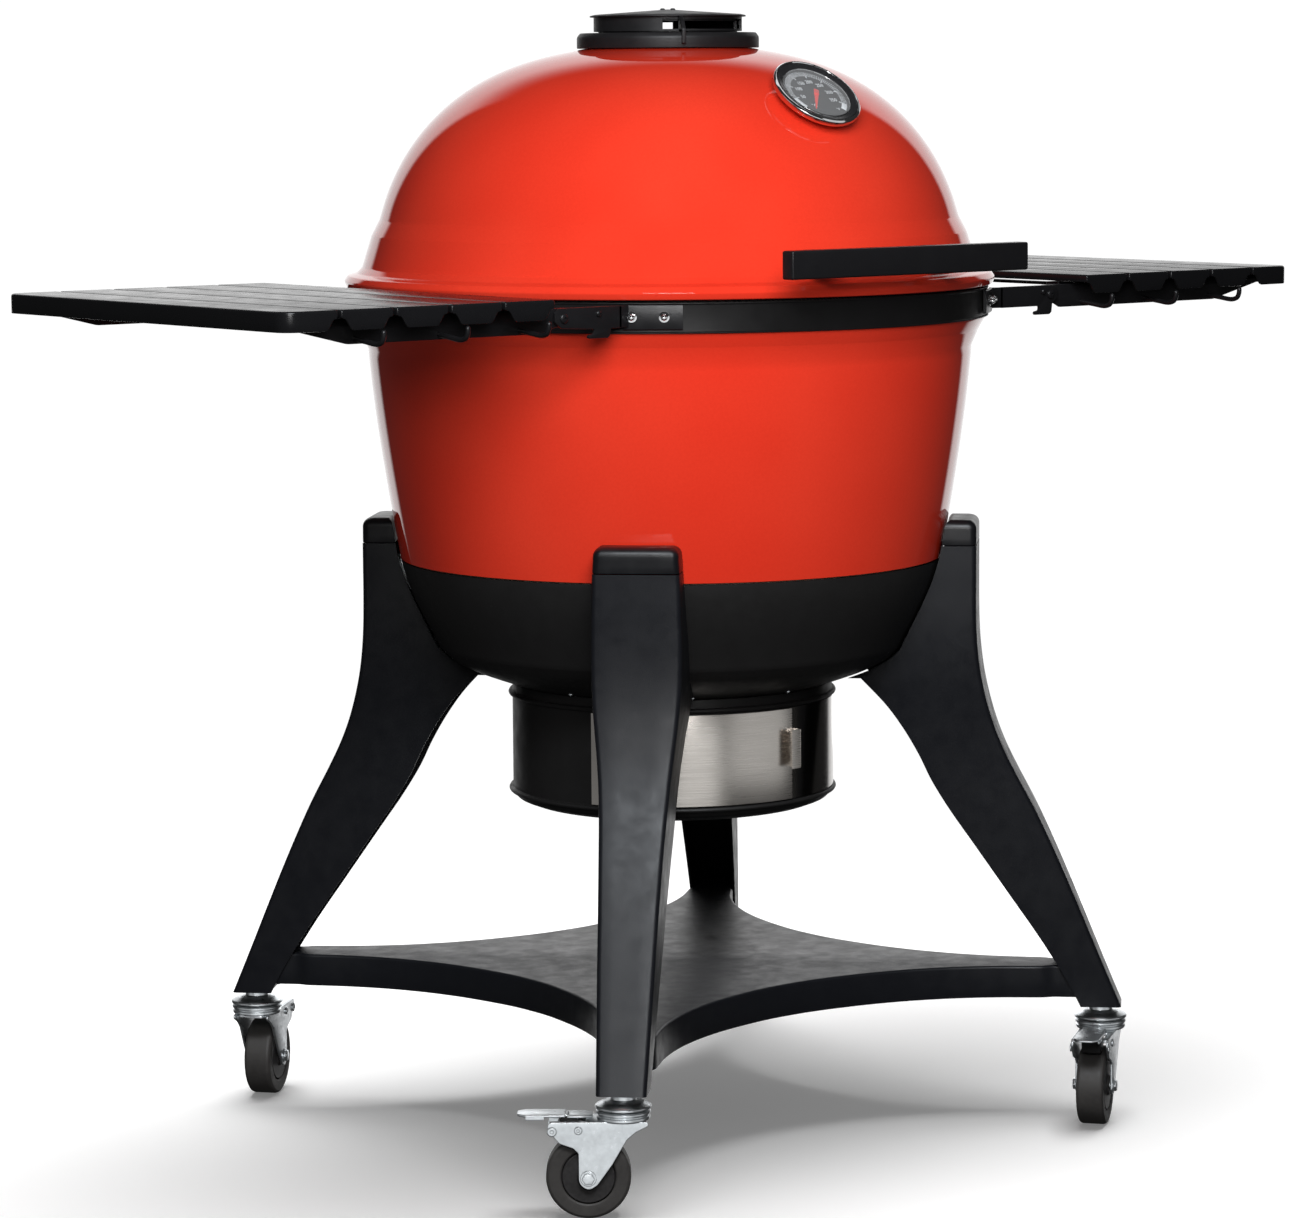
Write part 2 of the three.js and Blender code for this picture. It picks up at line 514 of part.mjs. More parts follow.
// ------------------------------------------------------------------- casters
const casters = [
  ['front_left', -1, -1, Math.atan2(0.625, -0.78), true],
  ['front_right', 1, -1, Math.atan2(-0.599, -0.8), true],
  ['rear_left', -1, 1, Math.atan2(0.633, 0.773), false],
  ['rear_right', 1, 1, Math.PI / 2, false],
];
const AXLE_Z = WHEEL_R;
const forkSide = [[71.5, 87], [59.8, 73], [42, 65.5], [42, 34.6], [32.8, 28.7], [24.6, 33.4], [-3.5, 77], [-23.4, 90], [-23.4, 94], [70, 94]];
function forkSolid(brake) {
  const top = plateZ([[-23.4, -12], [-12, -18.6], [66, -18.6], [70, -12], [70, 12], [66, 18.6], [-12, 18.6], [-23.4, 12]], 90.5, 94,
    brake ? [[[36, -11.4], [67, -11.2], [67, 11.2], [36, 11.4]]] : []);
  const axle = turned([[0, -21.5], [4, -21.5], [4, 21.5], [0, 21.5]], 10);
  axle.rotateX(Math.PI / 2);
  axle.translate(TRAIL, 0, AXLE_Z);
  return join(
    top,
    plateY(forkSide, -18.9, -16.4), plateY(forkSide, 16.4, 18.9),
    turned([[0, 93.5], [25.5, 93.5], [25.5, 102.9], [0, 102.9]], 12),
    axle,
  );
}
const wheelGeo = (() => {
  const rv = WHEEL_R / Math.cos(Math.PI / 24);
  const g = turned([[4.7, -15], [24, -13], [rv, -13], [rv, 13], [24, 13], [4.7, 15]], 24);
  g.rotateZ(Math.PI / 24);
  g.rotateX(Math.PI / 2);
  return g;
})();
const pedalGeo = join(
  plateZ([[27.8, -9], [38, -12], [94, -12], [100, -5], [100, 5], [94, 12], [38, 12], [27.8, 9]], 96.5, 100),
  plateY([[38, 83.5], [50, 79], [62, 77.5], [62, 90], [58, 97], [43, 97], [38, 90]], -10, 10),
);
for (const [name, sx, sy, yaw, brake] of casters) {
  const place = new THREE.Group();
  place.name = 'caster_' + name;
  place.position.set(sx * CASTER_XY, sy * CASTER_XY, 0);
  place.rotation.z = yaw;
  root.add(place);
  add('caster_stem_' + name, turned([
    [0, 103.3], [26.5, 103.3], [26.5, 109], [12, 112], [12, 117.5], [6, 117.5], [6, 139], [0, 139],
  ], 12), M.zinc, place);
  add('caster_fork_' + name, forkSolid(brake), M.zinc, place);
  const w = add('caster_wheel_' + name, wheelGeo.clone(), M.rubber, place);
  w.position.set(TRAIL, 0, AXLE_Z);
  if (brake) add('brake_pedal_' + name, pedalGeo.clone(), M.zinc, place);
}

export default root;
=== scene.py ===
# Looks for the ceramic-lined kettle grill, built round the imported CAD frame.
# Lengths below are millimetres; put() turns them into metres.
import bpy, bmesh, json, math
import numpy as np
from mathutils import Matrix, Vector

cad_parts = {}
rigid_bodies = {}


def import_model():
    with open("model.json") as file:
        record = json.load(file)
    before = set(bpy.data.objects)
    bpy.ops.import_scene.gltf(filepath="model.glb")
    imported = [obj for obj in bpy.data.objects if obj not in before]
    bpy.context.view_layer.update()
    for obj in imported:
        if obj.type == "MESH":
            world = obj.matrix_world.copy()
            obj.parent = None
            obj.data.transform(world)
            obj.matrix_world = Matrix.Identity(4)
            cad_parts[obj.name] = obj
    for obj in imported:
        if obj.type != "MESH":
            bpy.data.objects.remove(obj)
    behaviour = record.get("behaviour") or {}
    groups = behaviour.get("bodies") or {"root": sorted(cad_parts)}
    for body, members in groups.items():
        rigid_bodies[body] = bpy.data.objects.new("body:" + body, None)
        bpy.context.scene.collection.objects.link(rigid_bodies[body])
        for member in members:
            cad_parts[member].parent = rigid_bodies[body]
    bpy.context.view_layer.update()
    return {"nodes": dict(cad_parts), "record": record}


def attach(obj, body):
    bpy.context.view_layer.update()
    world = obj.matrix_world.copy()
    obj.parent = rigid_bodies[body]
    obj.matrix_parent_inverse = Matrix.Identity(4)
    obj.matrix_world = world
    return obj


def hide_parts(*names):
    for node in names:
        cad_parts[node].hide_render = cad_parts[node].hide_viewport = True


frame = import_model()
scene = bpy.context.scene
MM = 0.001
D = math.pi / 180
REC_SLOT = {s["node"]: s["material_slot"] for s in frame["record"]["subparts"]}

# ------------------------------------------------------------------ camera
CAM_A, CAM_D, CAM_H, CAM_PITCH, CAM_TX, CAM_ROLL = -0.6753, 4.4856, 1.0661, 0.1208, 0.0047, -0.0071
cam_data = bpy.data.cameras.new("camera")
cam = bpy.data.objects.new("camera", cam_data)
scene.collection.objects.link(cam)
fx, fy, fz = -math.sin(CAM_A) * math.cos(CAM_PITCH), math.cos(CAM_A) * math.cos(CAM_PITCH), -math.sin(CAM_PITCH)
cy, sy = math.cos(CAM_TX), math.sin(CAM_TX)
fwd = Vector((fx * cy - fy * sy, fx * sy + fy * cy, fz))
right = fwd.cross(Vector((0, 0, 1))).normalized()
up = right.cross(fwd)
cr, sr = math.cos(CAM_ROLL), math.sin(CAM_ROLL)
r2, u2 = right * cr + up * sr, up * cr - right * sr
cam.matrix_world = Matrix((
    (r2.x, u2.x, -fwd.x, CAM_D * math.sin(CAM_A)),
    (r2.y, u2.y, -fwd.y, -CAM_D * math.cos(CAM_A)),
    (r2.z, u2.z, -fwd.z, CAM_H),
    (0, 0, 0, 1)))
cam_data.sensor_width = 36.0
cam_data.lens = 4405.8 / 1302 * 36.0
cam_data.clip_end = 100
scene.camera = cam
scene.view_settings.view_transform = "Standard"
scene.view_settings.look = "None"

# --------------------------------------------------------------- materials
class Nodes:
    def __init__(self, name):
        self.m = bpy.data.materials.new(name)
        self.m.use_nodes = True
        self.t = self.m.node_tree
        self.b = self.t.nodes["Principled BSDF"]
        self.co = self.t.nodes.new("ShaderNodeTexCoord").outputs["Object"]

    def node(self, kind, **kw):
        n = self.t.nodes.new(kind)
        for k, v in kw.items():
            setattr(n, k, v)
        return n

    def link(self, a, b):
        self.t.links.new(a, b)

    def noise(self, scale, detail=3.0, rough=0.55, stretch=None, dist=0.0):
        src = self.co
        if stretch:
            mp = self.node("ShaderNodeMapping")
            mp.inputs["Scale"].default_value = stretch
            self.link(self.co, mp.inputs["Vector"])
            src = mp.outputs["Vector"]
        n = self.node("ShaderNodeTexNoise")
        n.inputs["Scale"].default_value = scale
        n.inputs["Detail"].default_value = detail
        n.inputs["Roughness"].default_value = rough
        n.inputs["Distortion"].default_value = dist
        self.link(src, n.inputs["Vector"])
        return n.outputs["Fac"]

    def ramp(self, fac, stops):
        r = self.node("ShaderNodeValToRGB")
        el = r.color_ramp.elements
        while len(el) < len(stops):
            el.new(0.5)
        for e, (p, c) in zip(el, stops):
            e.position = p
            e.color = (*c, 1) if len(c) == 3 else c
        self.link(fac, r.inputs["Fac"])
        return r.outputs["Color"]

    def span(self, fac, a, b, lo=0.3, hi=0.7):
        r = self.node("ShaderNodeMapRange")
        r.inputs["From Min"].default_value = lo
        r.inputs["From Max"].default_value = hi
        r.inputs["To Min"].default_value = a
        r.inputs["To Max"].default_value = b
        self.link(fac, r.inputs["Value"])
        return r.outputs["Result"]

    def bump(self, height, dist, strength=1.0, prev=None):
        b = self.node("ShaderNodeBump")
        b.inputs["Distance"].default_value = dist
        b.inputs["Strength"].default_value = strength
        self.link(height, b.inputs["Height"])
        if prev is not None:
            self.link(prev, b.inputs["Normal"])
        return b.outputs["Normal"]

    def mix(self, fac, a, b, mode="MIX"):
        m = self.node("ShaderNodeMix", data_type="RGBA", blend_type=mode)
        if isinstance(fac, (int, float)):
            m.inputs["Factor"].default_value = fac
        else:
            self.link(fac, m.inputs["Factor"])
        for sock, v in ((m.inputs["A"], a), (m.inputs["B"], b)):
            pass
        ins = [s for s in m.inputs if s.type == "RGBA"]
        for sock, v in zip(ins, (a, b)):
            if isinstance(v, tuple):
                sock.default_value = (*v, 1)
            else:
                self.link(v, sock)
        return [s for s in m.outputs if s.type == "RGBA"][0]

    def set(self, **kw):
        names = {"rough": "Roughness", "metal": "Metallic", "coat": "Coat Weight", "coat_rough": "Coat Roughness",
                 "ior": "IOR", "spec": "Specular IOR Level", "aniso": "Anisotropic", "sheen": "Sheen Weight",
                 "alpha": "Alpha", "trans": "Transmission Weight", "color": "Base Color", "normal": "Normal"}
        for k, v in kw.items():
            s = self.b.inputs[names[k]]
            if isinstance(v, (int, float)):
                s.default_value = v
            elif isinstance(v, tuple):
                s.default_value = (*v, 1)
            else:
                self.link(v, s)
        return self


def enamel():
    n = Nodes("red_enamel")
    cloud = n.noise(5.0, 2.0)
    fine = n.noise(420.0, 2.0)
    col = n.ramp(cloud, [(0.25, (0.76, 0.036, 0.016)), (0.75, (0.84, 0.052, 0.024))])
    col = n.mix(n.span(fine, 0.0, 0.10), col, (0.50, 0.010, 0.004))
    peel = n.noise(95.0, 2.0)
    n.set(color=col, rough=n.span(n.noise(30.0), 0.13, 0.20), metal=0.0, coat=1.0, coat_rough=0.02, ior=1.5, spec=0.0,
          normal=n.bump(peel, 0.00012, 0.35))
    return n.m


def powder(name, base, rough=0.5, grain=1500.0, depth=0.00006, tint=None, spec=0.5):
    n = Nodes(name)
    g = n.noise(grain, 3.0, 0.6)
    dust = n.noise(38.0, 4.0, 0.6)
    hi = tint or tuple(c * 1.7 for c in base)
    col = n.mix(n.span(dust, 0.0, 0.22), base, hi)
    col = n.mix(n.span(g, 0.0, 0.35), col, tuple(c * 0.55 for c in base))
    n.set(color=col, rough=n.span(n.noise(60.0), rough - 0.05, rough + 0.07), metal=0.0, spec=spec,
          normal=n.bump(g, depth, 0.8))
    return n.m


def metal(name, base, rough, lines=(1, 1, 1), grain=300.0, depth=0.00001, vary=0.12, aniso=0.0, cloud=9.0, dark=0.75):
    n = Nodes(name)
    l = n.noise(grain, 3.0, 0.6, stretch=lines)
    c = n.noise(cloud, 3.0)
    col = n.mix(n.span(c, 0.0, 1.0), base, tuple(x * dark for x in base))
    col = n.mix(n.span(l, 0.0, 0.25), col, tuple(x * 0.6 for x in base))
    n.set(color=col, metal=1.0, rough=n.span(l, rough - vary / 2, rough + vary / 2), aniso=aniso,
          normal=n.bump(l, depth, 0.6))
    return n.m


def stone(name, a, b, rough=0.9, pores=220.0, depth=0.0006):
    n = Nodes(name)
    blot, pore, grit = n.noise(14.0, 5.0), n.noise(pores, 4.0, 0.7), n.noise(900.0, 2.0)
    col = n.ramp(blot, [(0.3, a), (0.7, b)])
    col = n.mix(n.span(pore, 0.0, 0.6, 0.45, 0.7), col, tuple(x * 0.6 for x in a))
    n.set(color=col, rough=rough, spec=0.25, normal=n.bump(grit, depth * 0.25, 0.5, n.bump(pore, depth, 0.6)))
    return n.m


def rubber():
    n = Nodes("wheel_rubber")
    s, d = n.noise(260.0, 4.0, 0.65), n.noise(24.0, 3.0)
    col = n.mix(n.span(d, 0.0, 1.0), (0.026, 0.024, 0.023), (0.040, 0.037, 0.035))
    col = n.mix(n.span(s, 0.0, 0.35), col, (0.055, 0.051, 0.047))
    n.set(color=col, rough=n.span(s, 0.5, 0.68), normal=n.bump(s, 0.00008, 0.7))
    return n.m


def gasket():
    n = Nodes("fibre_gasket")
    w = n.node("ShaderNodeTexWave", wave_type="BANDS", bands_direction="DIAGONAL")
    w.inputs["Scale"].default_value = 220.0
    w.inputs["Distortion"].default_value = 3.0
    n.link(n.co, w.inputs["Vector"])
    col = n.mix(w.outputs["Fac"], (0.020, 0.020, 0.020), (0.055, 0.054, 0.052))
    n.set(color=col, rough=0.95, spec=0.2, normal=n.bump(w.outputs["Fac"], 0.0006, 0.7))
    return n.m


def plain_noise(name, a, b, rough, scale=300.0, depth=0.00002, **kw):
    n = Nodes(name)
    f = n.noise(scale, 3.0)
    n.set(color=n.mix(n.span(f, 0.0, 1.0), a, b), rough=n.span(f, rough - 0.04, rough + 0.04), normal=n.bump(f, depth, 0.5), **kw)
    return n.m


MAT = {
    "red_enamel": enamel(),
    "heat_black": powder("heat_black", (0.0105, 0.0100, 0.0100), 0.50, 1100.0, 0.00005, (0.016, 0.0155, 0.015)),
    "satin_black": powder("satin_black", (0.0060, 0.0058, 0.0066), 0.33, 1300.0, 0.00003, (0.010, 0.010, 0.0105)),
    "band_black": powder("band_black", (0.0065, 0.0062, 0.0066), 0.42, 900.0, 0.00004, (0.014, 0.014, 0.0145)),
    "cast_black": powder("cast_black", (0.0070, 0.0066, 0.0072), 0.48, 1000.0, 0.00008, (0.012, 0.011, 0.012)),
    "powder_coat": powder("powder_coat", (0.0058, 0.0062, 0.0082), 0.40, 1250.0, 0.00012, (0.008, 0.009, 0.0115), 0.42),
    "leg_cap_plastic": powder("leg_cap_plastic", (0.0045, 0.0046, 0.0056), 0.36, 1600.0, 0.00003),
    "slat_black": powder("slat_black", (0.0050, 0.0050, 0.0056), 0.24, 1400.0, 0.000008, (0.0065, 0.0065, 0.007), 0.36),
    "slat_dark": powder("slat_dark", (0.010, 0.010, 0.014), 0.30, 1400.0, 0.00003),
    "refractory": stone("refractory", (0.52, 0.43, 0.33), (0.66, 0.57, 0.46)),
    "fibre_gasket": gasket(),
    "stainless": metal("stainless", (0.60, 0.56, 0.52), 0.30, (3, 3, 260), 6.0, 0.00001, 0.14, 0.0, 7.0, 0.86),
    "stainless_dark": metal("stainless_dark", (0.30, 0.28, 0.26), 0.16, (3, 3, 260), 6.0, 0.00001, 0.08, 0.0, 7.0, 0.7),
    "stainless_rod": metal("stainless_rod", (0.56, 0.55, 0.53), 0.24, (1, 1, 1), 500.0, 0.00001, 0.12),
    "chrome": metal("chrome", (0.80, 0.80, 0.81), 0.09, (1, 1, 1), 160.0, 0.000002, 0.04, 0.0, 20.0, 0.92),
    "zinc_plate": metal("zinc_plate", (0.74, 0.77, 0.79), 0.34, (1, 1, 1), 220.0, 0.00002, 0.16, 0.0, 26.0, 0.86),
    "galvanised": metal("galvanised", (0.55, 0.56, 0.57), 0.42, (1, 1, 1), 60.0, 0.00002, 0.2, 0.0, 30.0, 0.7),
    "cast_iron": plain_noise("cast_iron", (0.030, 0.028, 0.026), (0.060, 0.055, 0.050), 0.62, 420.0, 0.0002),
    "wheel_rubber": rubber(),
    "hub_plastic": plain_noise("hub_plastic", (0.018, 0.017, 0.017), (0.027, 0.025, 0.025), 0.5, 300.0, 0.00005),
    "groove_black": plain_noise("groove_black", (0.004, 0.004, 0.004), (0.008, 0.008, 0.008), 0.5),
    "dial_black": plain_noise("dial_black", (0.006, 0.006, 0.008), (0.010, 0.010, 0.012), 0.42, 500.0, 0.00001),
    "dial_white": plain_noise("dial_white", (0.72, 0.76, 0.80), (0.80, 0.84, 0.88), 0.45, 500.0, 0.00001),
    "bezel_black": plain_noise("bezel_black", (0.010, 0.010, 0.011), (0.016, 0.016, 0.017), 0.22, 600.0, 0.00001),
    "needle_red": plain_noise("needle_red", (0.70, 0.020, 0.015), (0.78, 0.03, 0.02), 0.35, 400.0, 0.00001),
    "brake_black": plain_noise("brake_black", (0.012, 0.012, 0.012), (0.02, 0.02, 0.02), 0.5, 400.0, 0.00005),
}


def lens_glass():
    n = Nodes("lens_glass")
    f = n.noise(40.0)
    n.set(color=n.mix(f, (0.9, 0.93, 0.95), (0.95, 0.97, 1.0)), rough=n.span(f, 0.02, 0.04), alpha=0.10, ior=1.5)
    return n.m


MAT["lens_glass"] = lens_glass()

# ---------------------------------------------------------------- geometry
def put(name, verts, faces, mat, body, slot=None, replaces=(), angle=32, mats=None, fmat=None, bevel=0.0, bseg=2, weld=0.003):
    """A mesh object from points in millimetres. recalc makes its faces point out."""
    me = bpy.data.meshes.new(name)
    bm = bmesh.new()
    vs = [bm.verts.new((float(a) * MM, float(b) * MM, float(c) * MM)) for a, b, c in verts]
    bm.verts.ensure_lookup_table()
    for i, f in enumerate(faces):
        ids = [k for j, k in enumerate(f) if k != f[j - 1]]
        if len(ids) < 3:
            continue
        try:
            nf = bm.faces.new([vs[k] for k in ids])
            if fmat:
                nf.material_index = fmat[i]
        except ValueError:
            pass
    bmesh.ops.remove_doubles(bm, verts=bm.verts, dist=weld * MM)
    loose = [v for v in bm.verts if not v.link_faces]
    if loose:
        bmesh.ops.delete(bm, geom=loose, context="VERTS")
    bmesh.ops.recalc_face_normals(bm, faces=bm.faces)
    if bevel > 0:
        sharp = [e for e in bm.edges if len(e.link_faces) == 2 and e.calc_face_angle(0) > 40 * D]
        bmesh.ops.bevel(bm, geom=sharp, offset=bevel * MM, segments=bseg, profile=0.5, affect="EDGES", clamp_overlap=True)
    bm.to_mesh(me)
    bm.free()
    me.shade_smooth()
    me.set_sharp_from_angle(angle=angle * D)
    ob = bpy.data.objects.new(name, me)
    scene.collection.objects.link(ob)
    for m in (mats or [mat]):
        me.materials.append(MAT[m])
    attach(ob, body)
    if replaces:
        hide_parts(*replaces)
    return ob


class Part:
    """Collects several solids into one mesh."""
    def __init__(self):
        self.v, self.f, self.m = [], [], []

    def add(self, vf, mi=0, T=None):
        v, f = vf
        v = np.asarray(v, float).reshape(-1, 3)
        if T is not None:
            v = v @ np.array(T)[:3, :3].T + np.array(T)[:3, 3]
        base = sum(len(a) for a in self.v)
        self.v.append(v)
        self.f += [tuple(base + i for i in q) for q in f]
        self.m += [mi] * len(f)
        return self

    def put(self, name, mat, body, **kw):
        mats = kw.pop("mats", None)
        return put(name, np.concatenate(self.v), self.f, mat, body, mats=mats, fmat=self.m if mats else None, **kw)


def xf(v, T):
    return np.asarray(v, float) @ np.array(T)[:3, :3].T + np.array(T)[:3, 3]


def rotz(deg, x=0.0, y=0.0, z=0.0):
    return np.array(Matrix.Translation((x, y, z)) @ Matrix.Rotation(deg * D, 4, "Z"))


def fillet(pts, rad, n=5, closed=True):
    pts = [np.array(p, float) for p in pts]
    N, out = len(pts), []
    for i, p in enumerate(pts):
        r = rad[i] if isinstance(rad, (list, tuple)) else rad
        if r <= 0 or (not closed and i in (0, N - 1)):
            out.append(p)
            continue
        a, b = pts[i - 1], pts[(i + 1) % N]
        va, vb = a - p, b - p
        la, lb = np.linalg.norm(va), np.linalg.norm(vb)
        if la < 1e-9 or lb < 1e-9:
            out.append(p)
            continue
        va, vb = va / la, vb / lb
        ang = math.acos(max(-1, min(1, float(va @ vb))))
        if ang > 177 * D or ang < 2 * D:
            out.append(p)
            continue
        t = min(r / math.tan(ang / 2), 0.48 * la, 0.48 * lb)
        r_ = t * math.tan(ang / 2)
        c = p + (va + vb) / np.linalg.norm(va + vb) * (r_ / math.sin(ang / 2))
        s, e = p + va * t - c, p + vb * t - c
        a0, a1 = math.atan2(s[1], s[0]), math.atan2(e[1], e[0])
        d = (a1 - a0 + math.pi) % (2 * math.pi) - math.pi
        for k in range(n + 1):
            q = a0 + d * k / n
            out.append(c + r_ * np.array([math.cos(q), math.sin(q)]))
    return [tuple(p) for p in out]


def area(pts):
    p = np.array(pts)
    q = np.roll(p, -1, 0)
    return float((p[:, 0] * q[:, 1] - q[:, 0] * p[:, 1]).sum() / 2)


def inset(pts, d):
    """Closed outline moved inwards by d."""
    p = np.array(pts, float)
    s = 1 if area(pts) > 0 else -1
    a, b = np.roll(p, 1, 0), np.roll(p, -1, 0)
    e0, e1 = p - a, b - p
    e0 /= np.maximum(np.linalg.norm(e0, axis=1, keepdims=True), 1e-9)
    e1 /= np.maximum(np.linalg.norm(e1, axis=1, keepdims=True), 1e-9)
    n0 = np.stack([-e0[:, 1], e0[:, 0]], 1) * s
    n1 = np.stack([-e1[:, 1], e1[:, 0]], 1) * s
    n = n0 + n1
    n /= np.maximum(np.linalg.norm(n, axis=1, keepdims=True), 1e-9)
    k = d / np.maximum((n * n1).sum(1), 0.5)
    return [tuple(q) for q in p + n * k[:, None]]


def offset_line(pts, d):
    """Open line moved sideways by d (to its left)."""
    p = np.array(pts, float)
    t = np.gradient(p, axis=0)
    t /= np.linalg.norm(t, axis=1, keepdims=True)
    return [tuple(q) for q in p + np.stack([-t[:, 1], t[:, 0]], 1) * d]


def rings(loops, cap0=True, cap1=True):
    """Skin over a list of equal-length closed loops of 3-D points."""
    n = len(loops[0])
    v = np.concatenate([np.asarray(l, float) for l in loops])
    f = []
    for k in range(len(loops) - 1):
        for i in range(n):
            j = (i + 1) % n
            f.append((k * n + i, k * n + j, (k + 1) * n + j, (k + 1) * n + i))
    if cap0:
        f.append(tuple(reversed(range(n))))
    if cap1:
        f.append(tuple(range((len(loops) - 1) * n, len(loops) * n)))
    return v, f


def slab(outline, z0, z1, r=1.0, n=3, r0=None):
    """Plate with rounded edges; outline in the first two axes, thickness along the third."""
    r0 = r if r0 is None else r0
    r, r0 = min(r, (z1 - z0) / 2), min(r0, (z1 - z0) / 2)
    loops = []
    for k in range(n + 1):
        a = math.pi / 2 * k / n
        d, z = r0 * (1 - math.sin(a)), z0 + r0 * (1 - math.cos(a))
        loops.append([(x, y, z) for x, y in inset(outline, d)])
    for k in range(n + 1):
        a = math.pi / 2 * k / n
        d, z = r * (1 - math.cos(a)), z1 - r * (1 - math.sin(a))
        loops.append([(x, y, z) for x, y in inset(outline, d)])
    return rings(loops)


XZ = np.array([[1, 0, 0, 0], [0, 0, 1, 0], [0, 1, 0, 0], [0, 0, 0, 1]], float)    # (a, b, t) -> (x=a, y=t, z=b)
YZ = np.array([[0, 0, 1, 0], [1, 0, 0, 0], [0, 1, 0, 0], [0, 0, 0, 1]], float)    # (a, b, t) -> (x=t, y=a, z=b)


def lathe(profile, segs=160, closed=True, az0=None, az1=None):
    """Turned body. profile is [(r, z)]; closed round itself, or open with both ends on the axis."""
    part_arc = az0 is not None
    n = segs + 1 if part_arc else segs
    ang = [(az0 + (az1 - az0) * i / segs) * D if part_arc else 2 * math.pi * i / segs for i in range(n)]
    v, idx = [], []
    for r, z in profile:
        if r < 1e-6:
            idx.append([len(v)] * n)
            v.append((0, 0, z))
        else:
            idx.append(list(range(len(v), len(v) + n)))
            v += [(r * math.sin(a), -r * math.cos(a), z) for a in ang]
    f = []
    P = len(profile)
    for k in range(P if closed else P - 1):
        a, b = idx[k], idx[(k + 1) % P]
        for i in range(n if not part_arc else n - 1):
            j = (i + 1) % n
            q = [a[i], a[j], b[j], b[i]]
            q = [x for t, x in enumerate(q) if x != q[t - 1]]
            if len(q) >= 3:
                f.append(tuple(q))
    if part_arc:
        f.append(tuple(idx[k][0] for k in range(P)))
        f.append(tuple(idx[k][-1] for k in reversed(range(P))))
    return v, f


def smooth_line(pts, deg, n):
    p = np.array(pts, float)
    t = np.concatenate([[0], np.cumsum(np.linalg.norm(np.diff(p, axis=0), axis=1))])
    t /= t[-1]
    cx, cz = np.polyfit(t, p[:, 0], deg), np.polyfit(t, p[:, 1], deg)
    s = np.linspace(0, 1, n)
    return [(float(a), float(b)) for a, b in zip(np.polyval(cx, s), np.polyval(cz, s))]


def catmull(pts, per=8, closed=False):
    p = np.array(pts, float)
    N = len(p)
    out = []
    for i in range(N if closed else N - 1):
        g = lambda k: p[k % N] if closed else p[min(max(k, 0), N - 1)]
        p0, p1, p2, p3 = g(i - 1), g(i), g(i + 1), g(i + 2)
        for k in range(per):
            t = k / per
            out.append(0.5 * ((2 * p1) + (-p0 + p2) * t + (2 * p0 - 5 * p1 + 4 * p2 - p3) * t * t + (-p0 + 3 * p1 - 3 * p2 + p3) * t ** 3))
    if not closed:
        out.append(p[-1])
    return np.array(out)


def tube(pts, r, sides=16, round_ends=True, closed=False):
    p = np.array(pts, float)
    n = len(p)
    t = np.gradient(p, axis=0) if not closed else np.roll(p, -1, 0) - np.roll(p, 1, 0)
    t /= np.maximum(np.linalg.norm(t, axis=1, keepdims=True), 1e-9)
    ref = np.array([0, 0, 1.0]) if abs(t[0][2]) < 0.9 else np.array([1.0, 0, 0])
    u = np.cross(t[0], ref)
    u /= np.linalg.norm(u)
    frames = []
    for k in range(n):
        u = u - t[k] * (u @ t[k])
        u /= np.linalg.norm(u)
        frames.append((p[k], u.copy(), np.cross(t[k], u)))
    rr = r if hasattr(r, "__len__") else [r] * n
    loops = []

    def ring(c, a, b, q):
        return [c + q * (math.cos(2 * math.pi * i / sides) * a + math.sin(2 * math.pi * i / sides) * b) for i in range(sides)]
    if round_ends and not closed:
        for s in (0.25, 0.55, 0.85):
            c, a, b = frames[0]
            loops.append(ring(c - t[0] * rr[0] * math.sqrt(1 - s * s), a, b, rr[0] * s))
    for k in range(n):
        loops.append(ring(*frames[k], rr[k]))
    if round_ends and not closed:
        for s in (0.85, 0.55, 0.25):
            c, a, b = frames[-1]
            loops.append(ring(c + t[-1] * rr[-1] * math.sqrt(1 - s * s), a, b, rr[-1] * s))
    if closed:
        v, f = rings(loops, False, False)
        m = len(loops)
        f += [((m - 1) * sides + i, (m - 1) * sides + (i + 1) % sides, (i + 1) % sides, i) for i in range(sides)]
        return v, f
    return rings(loops)


def rect(x0, x1, y0, y1, r=1.0, n=4):
    return fillet([(x0, y0), (x1, y0), (x1, y1), (x0, y1)], r, n)


def circle(r, n=48, cx=0.0, cy=0.0):
    return [(cx + r * math.cos(2 * math.pi * i / n), cy + r * math.sin(2 * math.pi * i / n)) for i in range(n)]


def aim(p, normal, turn=0.0):
    """Matrix whose z axis is normal, at p."""
    z = Vector(normal).normalized()
    x = Vector((0, 0, 1)).cross(z)
    if x.length < 1e-6:
        x = Vector((1, 0, 0))
    x.normalize()
    y = z.cross(x)
    m = Matrix(((x.x, y.x, z.x, p[0]), (x.y, y.y, z.y, p[1]), (x.z, y.z, z.z, p[2]), (0, 0, 0, 1)))
    return np.array(m @ Matrix.Rotation(turn, 4, "Z"))


def at(r, az, z):
    return (r * math.sin(az * D), -r * math.cos(az * D), z)


def acorn(T, s=1.0, name="", body="root", mat="chrome"):
    """Dome nut on a washer."""
    p = Part()
    p.add(lathe([(0, 0), (4.9 * s, 0), (5.1 * s, 0.25 * s), (5.1 * s, 0.8 * s), (4.8 * s, 1.0 * s), (0, 1.0 * s)], 40, False))
    hexa = fillet([(4.1 * s * math.cos(a * 60 * D), 4.1 * s * math.sin(a * 60 * D)) for a in range(6)], 0.5 * s, 2)
    p.add(slab(hexa, 1.0 * s, 3.4 * s, 0.5 * s, 2))
    p.add(lathe([(0, 3.0 * s)] + [(3.2 * s * math.cos(a * D), (3.3 + 2.8 * math.sin(a * D)) * s) for a in range(0, 90, 10)] + [(0, 6.1 * s)], 32, False))
    p.v = [xf(v, T) for v in p.v]
    return p.put(name, mat, body, angle=40)


